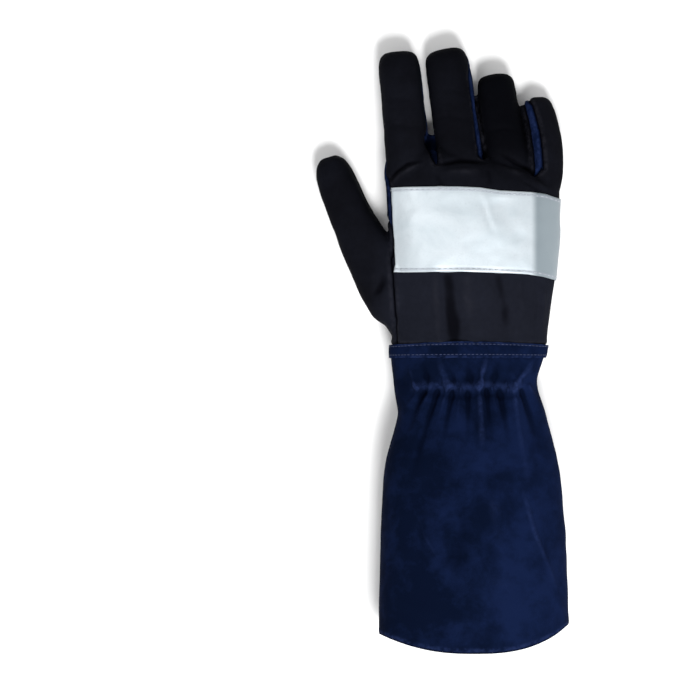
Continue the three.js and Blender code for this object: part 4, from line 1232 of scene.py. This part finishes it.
def cloth_material(name):
    """Painted light: lighter towards the wrist and away from the thumb, with random faded patches;
    painted shade: darker on the middle and ring fingers.
    """
    made, shader, coords = start_material(name, Specular_IOR_Level=0.02)
    where = coords["Object"]
    woven = placed(weave, where, Normal=coords["Normal"])
    rubbed = placed(wear_and_shade, where, Ridge_from_mm=0.3, Seam_rub=0.5)
    patches = ramp(noise_value(where, 42.0, 4, 0.6), 0.3, 0.7)
    colour = mixed(woven["Shade"], (0.0010, 0.0011, 0.0018), (0.0040, 0.0042, 0.0066))
    x, y, _ = along_axes(where)
    # painted light: lighter on the back of the hand towards the wrist and away from the thumb;
    # random faded patches are mixed in
    painted_light_and_fading = times(ramp(y, 0.11, 0.05), ramp(x, -0.046, -0.022))
    painted_light_and_fading = times(plus(painted_light_and_fading, times(patches, 0.3)), ramp(woven["Shade"], 0.1, 0.9, 0.35, 0.8))
    colour = mixed(painted_light_and_fading, colour, (0.0098, 0.0112, 0.0180))
    # painted shade: the middle and ring fingers are darker
    painted_finger_shade = times(ramp(y, 0.106, 0.126), ramp(x, 0.0, 0.034, 0.15, 0.8))
    painted_finger_shade = times(times(painted_finger_shade, ramp(x, 0.060, 0.050)), ramp(x, -0.008, 0.004))
    colour = mixed(painted_finger_shade, colour, (0.0006, 0.0007, 0.0014))
    colour = mixed(times(rubbed["Wear"], 0.6), colour, (0.021, 0.021, 0.028))
    # painted shade: darker in the valleys of folds and in the seam grooves
    colour = mixed(times(rubbed["Painted valley shade"], 0.8), colour, (0.0006, 0.0006, 0.0014))
    complete(shader, colour, ramp(woven["Shade"], 0, 1, 0.9, 0.68), woven["Height"], 0.12, 0.7)
    return made


# %% Glass beads, webbing, nickel and thread
def tape_material(name):
    made, shader, coords = start_material(name, Specular_IOR_Level=0.6, Metallic=0.25)
    where, tree = coords["Object"], made.node_tree
    beads = add(tree, "ShaderNodeTexVoronoi", {"Vector": where, "Scale": 2600.0})
    smudge = noise_value(where, 48.0, 4, 0.6, 0.5)
    grain = ramp(noise_value(where, 900.0, 2, 0.6), 0.55, 0.75)
    colour = mixed(ramp(smudge, 0.35, 0.7), (0.485, 0.535, 0.57), (0.42, 0.475, 0.51))
    colour = mixed(times(grain, 0.3), colour, (0.34, 0.375, 0.40))
    # painted shade: the band is darker on its far side, towards the little finger, where it turns
    # away from the light
    colour = mixed(ramp(along_axes(where)[0], 0.0525, 0.0575), colour, (0.20, 0.24, 0.265))
    edge = kept_on_mesh(tree, "seam")
    pressed = times(ramp(edge, 0.7, 1.3), ramp(edge, 2.9, 2.1))
    colour = mixed(times(pressed, 0.55), colour, (0.27, 0.29, 0.34))
    roughness = ramp(smudge, 0.3, 0.7, 0.35, 0.5)
    complete(shader, colour, roughness, beads.outputs["Distance"], 0.06, 0.5)
    return made


def webbing_material(name):
    made, shader, coords = start_material(name)
    woven = placed(weave, coords["Object"], Normal=coords["Normal"], Thread_mm=0.8)
    colour = mixed(woven["Shade"], (0.003, 0.003, 0.004), (0.02, 0.02, 0.024))
    complete(shader, colour, ramp(woven["Shade"], 0, 1, 0.85, 0.6), woven["Height"], 0.25, 0.9)
    return made


def nickel_material(name):
    made, shader, coords = start_material(name, Metallic=1.0)
    where = coords["Object"]
    spots = noise_value(where, 700.0, 4, 0.65)
    dulled = noise_value(where, 160.0, 3, 0.6)
    colour = mixed(ramp(dulled, 0.4, 0.65), (0.66, 0.645, 0.60), (0.50, 0.485, 0.45))
    colour = mixed(times(ramp(spots, 0.6, 0.72), 0.5), colour, (0.2, 0.18, 0.16))
    complete(shader, colour, ramp(dulled, 0.35, 0.7, 0.2, 0.42), spots, 0.02, 0.4)
    return made


def thread_material(name, dark, light):
    made, shader, coords = start_material(name)
    twist = noise_value(coords["Object"], 1500.0, 2)
    complete(shader, mixed(ramp(twist, 0.35, 0.65), dark, light), 0.7, twist, 0.1, 0.8)
    return made


suede = suede_material(
    "blue_suede", (0.0016, 0.0036, 0.0127), (0.0037, 0.0082, 0.0315), (0.0145, 0.0247, 0.078))
black_cloth = cloth_material("black_cloth")
beads = tape_material("reflective_beads")
webbing = webbing_material("strap_webbing")
nickel = nickel_material("plated_nickel")
navy_thread = thread_material("navy_thread", (0.006, 0.011, 0.036), (0.018, 0.030, 0.085))
grey_thread = thread_material("grey_thread", (0.26, 0.29, 0.32), (0.46, 0.50, 0.53))
print("materials:", len(bpy.data.materials))

# %% [markdown]
# ## Put the panels on
#
# The panels of the hand take their black cloth or blue suede, and the gauntlet its suede.
# Inside the gauntlet, the side seams have the turned-in edges that a real one has.

# %% Panels and gauntlet
for name in ("hand_back", "thumb_back"):
    panel(name, black_cloth, "black_cloth")
for name in ("hand_palm", "thumb_front", "middle_finger_front", "ring_finger_front", *strip_names):
    panel(name, suede, "suede")
gap = 0.15  # degrees from a side seam to each of its panels
gauntlet_piece("gauntlet_back", far_side - 360 + gap, thumb_side - gap, 250, 160)
gauntlet_piece("gauntlet_palm", thumb_side + gap, far_side - gap, 150, 110)
seam_allowance("allowance_thumb_side", thumb_side)
seam_allowance("allowance_little_finger_side", far_side)


# %% [markdown]
# ## The reflective band
#
# The band is a tape with glass beads, sewn onto the black cloth across the back of the hand.
# It lies on the cloth, so its shape has to be the cloth's. A shrinkwrap would move its edges
# to whatever skin is nearest. Here rays are cast outwards from the middle of the hand, and
# each point of the band lands on the skin and is lifted a little. Two rows of lock stitch
# run along its edges and pull them down.

# %% Cast onto the hand
hand_tree = bvhtree.BVHTree.FromBMesh(hand)


def on_hand(y, angle, lift):
    """A point over the hand's skin, in millimetres, and the skin's normal there."""
    x, bottom, height = (np.interp(y, hand_columns[0], hand_columns[i]) for i in (1, 3, 4))
    heart = Vector((x, y, bottom + height / 2))
    toward = (section_point(y, angle) - heart).normalized()
    hit, normal = hand_tree.ray_cast(Vector(place(*heart)), toward)[:2]
    return hit / MM - wrist_joint + normal * lift, normal


tape_height = 50.8
tape_top = [(-50, 94.8), (-30, 95.4), (-6, 95.4), (6, 94.8),
            (18, 93.0), (36, 92.1), (45, 90.9), (54, 88.0)]
tape_bottom = [(-50, 44.1), (-6, 44.4), (18, 43.8), (36, 42.9), (45, 41.6), (54, 39.2)]


def tape_point(across, up, lift):
    """across from the little finger's side to the thumb's, up from the lower edge; both 0 to 1."""
    end = 155.4 + 2.6 * up
    angle = math.radians(-14 + (end + 14) * across)
    x = float(body_points(70, angle)[0])
    low, high = (np.interp(x, *zip(*line)) for line in (tape_bottom, tape_top))
    return on_hand(float(low + (high - low) * up), angle, lift)


def stitches(name, spots, length, thickness, material, slot):
    """A row of stitches: each lies along the row, half sunk at the given point."""
    bm = bmesh.new()
    for i, (point, normal) in enumerate(spots[:-1]):
        along = (spots[i + 1][0] - point).normalized()
        side = normal.cross(along).normalized()
        up = side.cross(along)
        turn = Matrix((along * length / 2, side * thickness / 2, up * -thickness / 2)).transposed()
        where = Matrix.Translation(place(*point)) @ (turn * MM).to_4x4()
        bmesh.ops.create_uvsphere(bm, u_segments=6, v_segments=5, radius=1, matrix=where)
    bmesh.ops.recalc_face_normals(bm, faces=bm.faces)
    return piece(name, bm, material, slot)


# %% The band and its stitching
band_creases = [
    ([(5.4, 92), (9, 80), (13.2, 67)], -0.5, 1.1),
    ([(8, 93), (12, 80), (17, 66)], 0.3, 1.4),
    ([(16, 90), (22, 78), (30, 62)], -0.6, 6.0),
]
band_columns, band_rows = 120, 46
band_up = 1 - np.arange(band_rows) / (band_rows - 1)
from_edge = tape_height * np.minimum(band_up, 1 - band_up)


def band_row(row):
    pressed = 0.22 * bell(from_edge[row] - 1.9, 0.7) + 0.12 * bell(from_edge[row], 0.7)
    for i in range(band_columns):
        point, normal = tape_point(i / (band_columns - 1), band_up[row], 1.0)
        crease = fold_push(np.array([point[:2]]), band_creases)[0]
        yield point + normal * (crease + 0.25 * noise.noise(point / 14) - pressed)


tape = grid_through(band_columns, band_rows, band_row)
keep_values(tape, seam=np.repeat(from_edge, band_columns))
piece("reflective_band", tape, beads, "reflective_tape", "reflective_tape", 0.75)
for label, up in (("lower", 0.036), ("upper", 0.964)):
    shares = np.linspace(0.985, 0.012, 300)
    line = [tape_point(a, up, 0.98)[0] for a in shares]
    run = np.concatenate([[0], np.cumsum([(b - a).length for a, b in zip(line, line[1:])])])
    even = np.interp(np.linspace(0, run[-1], int(run[-1] / 3.3)), run, shares)
    spots = [tape_point(a, up, 0.98) for a in even]
    stitches("band_stitches_" + label, spots, 2.5, 0.55, grey_thread, "reflective_tape")

# %% [markdown]
# ## The strips over the wrist joint
#
# Where the hand meets the gauntlet, a strip of suede covers the joint. Its cut edge is raw
# and catches the light. On the back it has two rows of stitching, on the palm side three.
# The strip takes the puckers of the gather below it, which are weaker here.

# %% Wrist strips
strip_top, strip_bottom = 2.6, -7.2
pulls = [(-37, 0.7), (-26, 0.8), (-17, -0.6), (-8, -0.5), (10.5, 0.9), (18, -0.6), (36.5, 0.8)]


def strip_wave(x, y, back):
    """How far the strip stands out at a place, beyond its own thickness."""
    pucker = 0.35 * noise.noise(Vector((x / 5.5, y / 14, 9.0 if back else 4.0)))
    if back:
        pull = step(-y, 0, 7) * step(40 - abs(x + 2), 0, 8)
        pucker += pull * sum(height * bell(x - at, 2.2) for at, height in pulls)
    return float(pucker)


def strip_point(x, z, y, back, lift):
    """A point of the strip from a point of the section, pushed out from its middle."""
    middle = Vector((float(np.interp(y, gauntlet_columns[0], gauntlet_columns[1])), y, 23.5))
    out = (Vector((x, y, z)) - middle).normalized()
    rolled = 0.5 * bell(y - 2.2, 0.5)
    return Vector((x, y, z)) + out * (lift + strip_wave(x, y, back) - rolled), out


def arched(x, y):
    """How much lower the strip runs at the sides of the wrist than in the middle."""
    return 2.0 * (x / 47) ** 2 * (y - strip_bottom) / (strip_top - strip_bottom)


def strip_row(y, x, z, back, stitch_rows):
    """One row of the strip's points, pressed in where a row of stitches is near."""
    points = []
    dip = sum(0.3 * bell(y - at, 0.8) for at in stitch_rows)
    for a, b in zip(x, z):
        uneven = 0.4 * noise.noise(Vector((a / 6.0, y / 8, 7))) - arched(a, y)
        point = strip_point(a, b, y + uneven, back, 1.35)[0]
        point.z -= dip * (1 if point.z > 23 else -1)
        points.append(point)
    return points


def wrist_strip(name, start, end, stitch_rows, columns=180, rows=22):
    back = start < 0
    heights = np.linspace(strip_top, strip_bottom, rows)
    points = []
    for y in heights:
        x, z, _ = arc(float(y), start, end, columns)
        points.append(strip_row(y, x, z, back, stitch_rows))
    bm = grid_through(columns, rows, lambda row: points[row])
    wave = [strip_wave(point.x, y, back) + 0.1 for y, row in zip(heights, points) for point in row]
    y = np.repeat(heights, columns)
    keep_values(bm, seam=np.minimum(strip_top - y, y - strip_bottom) + 1.2, fold=wave,
                raw=0.9 * (y > 1.9) + 0.45 * bell(y + 5.9, 0.5))
    for vert in bm.verts:
        vert.co.z = max(vert.co.z, 0.0)
    piece(name + "_strip", bm, suede, "suede", name, 1.0)
    for i, y in enumerate(stitch_rows):
        x, z, _ = arc(y, start + 1, end - 1, int((170 if back else 130) / 3.1))
        spots = [strip_point(a, b, y - arched(a, y), back, 1.15) for a, b in zip(x, z)]
        stitches(name + "_stitches_" + str(i + 1), spots, 2.2, 0.5, navy_thread, "suede")


gap = 0.5  # degrees, wider than the gauntlet's, so that the strips' raw ends stay apart
wrist_strip("wrist_band_back", far_side - 360 + gap, thumb_side - gap, [1.2, -5.0])
wrist_strip("wrist_band_palm", thumb_side + gap, far_side - gap, [1.2, -2.0, -5.6])

# %% [markdown]
# ## Strap and snap hook
#
# A short webbing strap is sewn to the gauntlet at the little finger's side, and carries a
# metal snap hook. The strap is a flat band: it runs down, turns round the bar of the hook's
# eye and comes back outside itself. It could be a curve with a flat section, but a grid of
# points that follows the path can also be a little narrower at the eye, as a folded end is.

# %% The strap's place
strap_length, fold_middle, strap_thickness = 38.0, 2.045, 1.3
strap_y = -76  # where it is sewn to the cuff
ring_radius = 4.1  # of the hook's ring end; the eye's place is a share of it


def strap_frame():
    """Where the strap starts and ends, and the ways along it, towards the glove and across."""
    sewn = section_point(strap_y, math.radians(-42))
    tangent = (section_point(strap_y, math.radians(-40)) - sewn).normalized()
    outward = Vector((tangent.z, 0, -tangent.x))
    start = sewn + outward * (0.35 + fold_middle + strap_thickness / 2)
    mouth_side = gauntlet_rows[-1][1] + gauntlet_rows[-1][3]
    hang_x, drop = mouth_side - 2.35 * ring_radius, 1.22 * ring_radius
    reach = math.sqrt(strap_length**2 - (start.x - hang_x) ** 2 - (start.z - drop) ** 2)
    end = Vector((hang_x, start.y - reach, drop))
    along = (end - start).normalized()
    width = along.cross(-outward).normalized()
    inward = width.cross(along)
    return start, end, along, inward, width


strap_start, eye_place, strap_along, strap_inward, strap_width = strap_frame()


def on_strap(x, y, z):
    return strap_start + strap_along * x + strap_inward * y + strap_width * z


# %% The strap
path = [(x, fold_middle) for x in np.linspace(0, strap_length, 40)]
for a in np.linspace(0.25, math.pi - 0.25, 10):
    path.append((strap_length + fold_middle * math.sin(a), fold_middle * math.cos(a)))
path += [(x, -fold_middle) for x in np.linspace(strap_length, 0.64 * strap_length, 15)]
strap_columns = 9


def strap_half(x):
    return 4.2 - 1.7 * float(step(x, 0.62 * strap_length, strap_length - 2.7))


def strap_row(row):
    x, y = path[row]
    half = strap_half(x)
    for i in range(strap_columns):
        share = 2 * i / (strap_columns - 1) - 1
        yield on_strap(x, y + 0.12 * share**2, share * half)


strap = grid_through(strap_columns, len(path), strap_row)
bmesh.ops.recalc_face_normals(strap, faces=strap.faces)
strap_piece = piece("hook_strap_webbing", strap, webbing, "webbing", "hook_strap")
thick = strap_piece.modifiers.new("thickness", "SOLIDIFY")
thick.thickness = (strap_thickness - 0.1) * MM
thick.offset = 0
outward = -strap_inward
for i, (x, y) in enumerate([(2.0, 1.35), (6.2, 1.35), (26.0, -2.75), (34.6, -2.75)]):
    half = strap_half(x) - 0.8
    spots = [(on_strap(x, y, z), outward) for z in np.linspace(-half, half, 5)]
    stitches("strap_stitches_" + str(i + 1), spots, 1.2, 0.45, grey_thread, "webbing")
print("strap from", [round(v, 1) for v in strap_start], "to", [round(v, 1) for v in eye_place])

# %% [markdown]
# ## The castings
#
# The hook is die-cast and tumbled before it is plated, so none of its edges is sharp. The
# measured model has its exact form but flat facets. Remeshing that form finely and smoothing
# it a little gives the rounded casting, and each casting moves with its own body.

# %% The castings
def casting(node, body, voxel=0.17, smoothing=16):
    source = bmesh.new()
    source.from_mesh(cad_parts[node].data)
    mesh = melted(node, [source], voxel, smoothing)
    cast = bmesh.new()
    cast.from_mesh(mesh)
    bpy.data.meshes.remove(mesh)
    piece(node + "_casting", cast, nickel, "nickel", node, body=body)


for node, body in (("hook_eye", "glove"), ("hook_body", "hook"), ("hook_lever", "lever")):
    casting(node, body)

# %% [markdown]
# ## The size, and the end
#
# The finished glove's box is written beside the measured model's, so that they can be
# compared: padding, folds and stitches may not change the glove's size.

# %% Sizes, and the end
boxes = {"cad": cad_box, "visual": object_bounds()}
for label, box in boxes.items():
    boxes[label] = [list(map(float, corner)) for corner in box]
    print(label, [round((b - a) * 1000, 1) for a, b in zip(*box)], "mm")
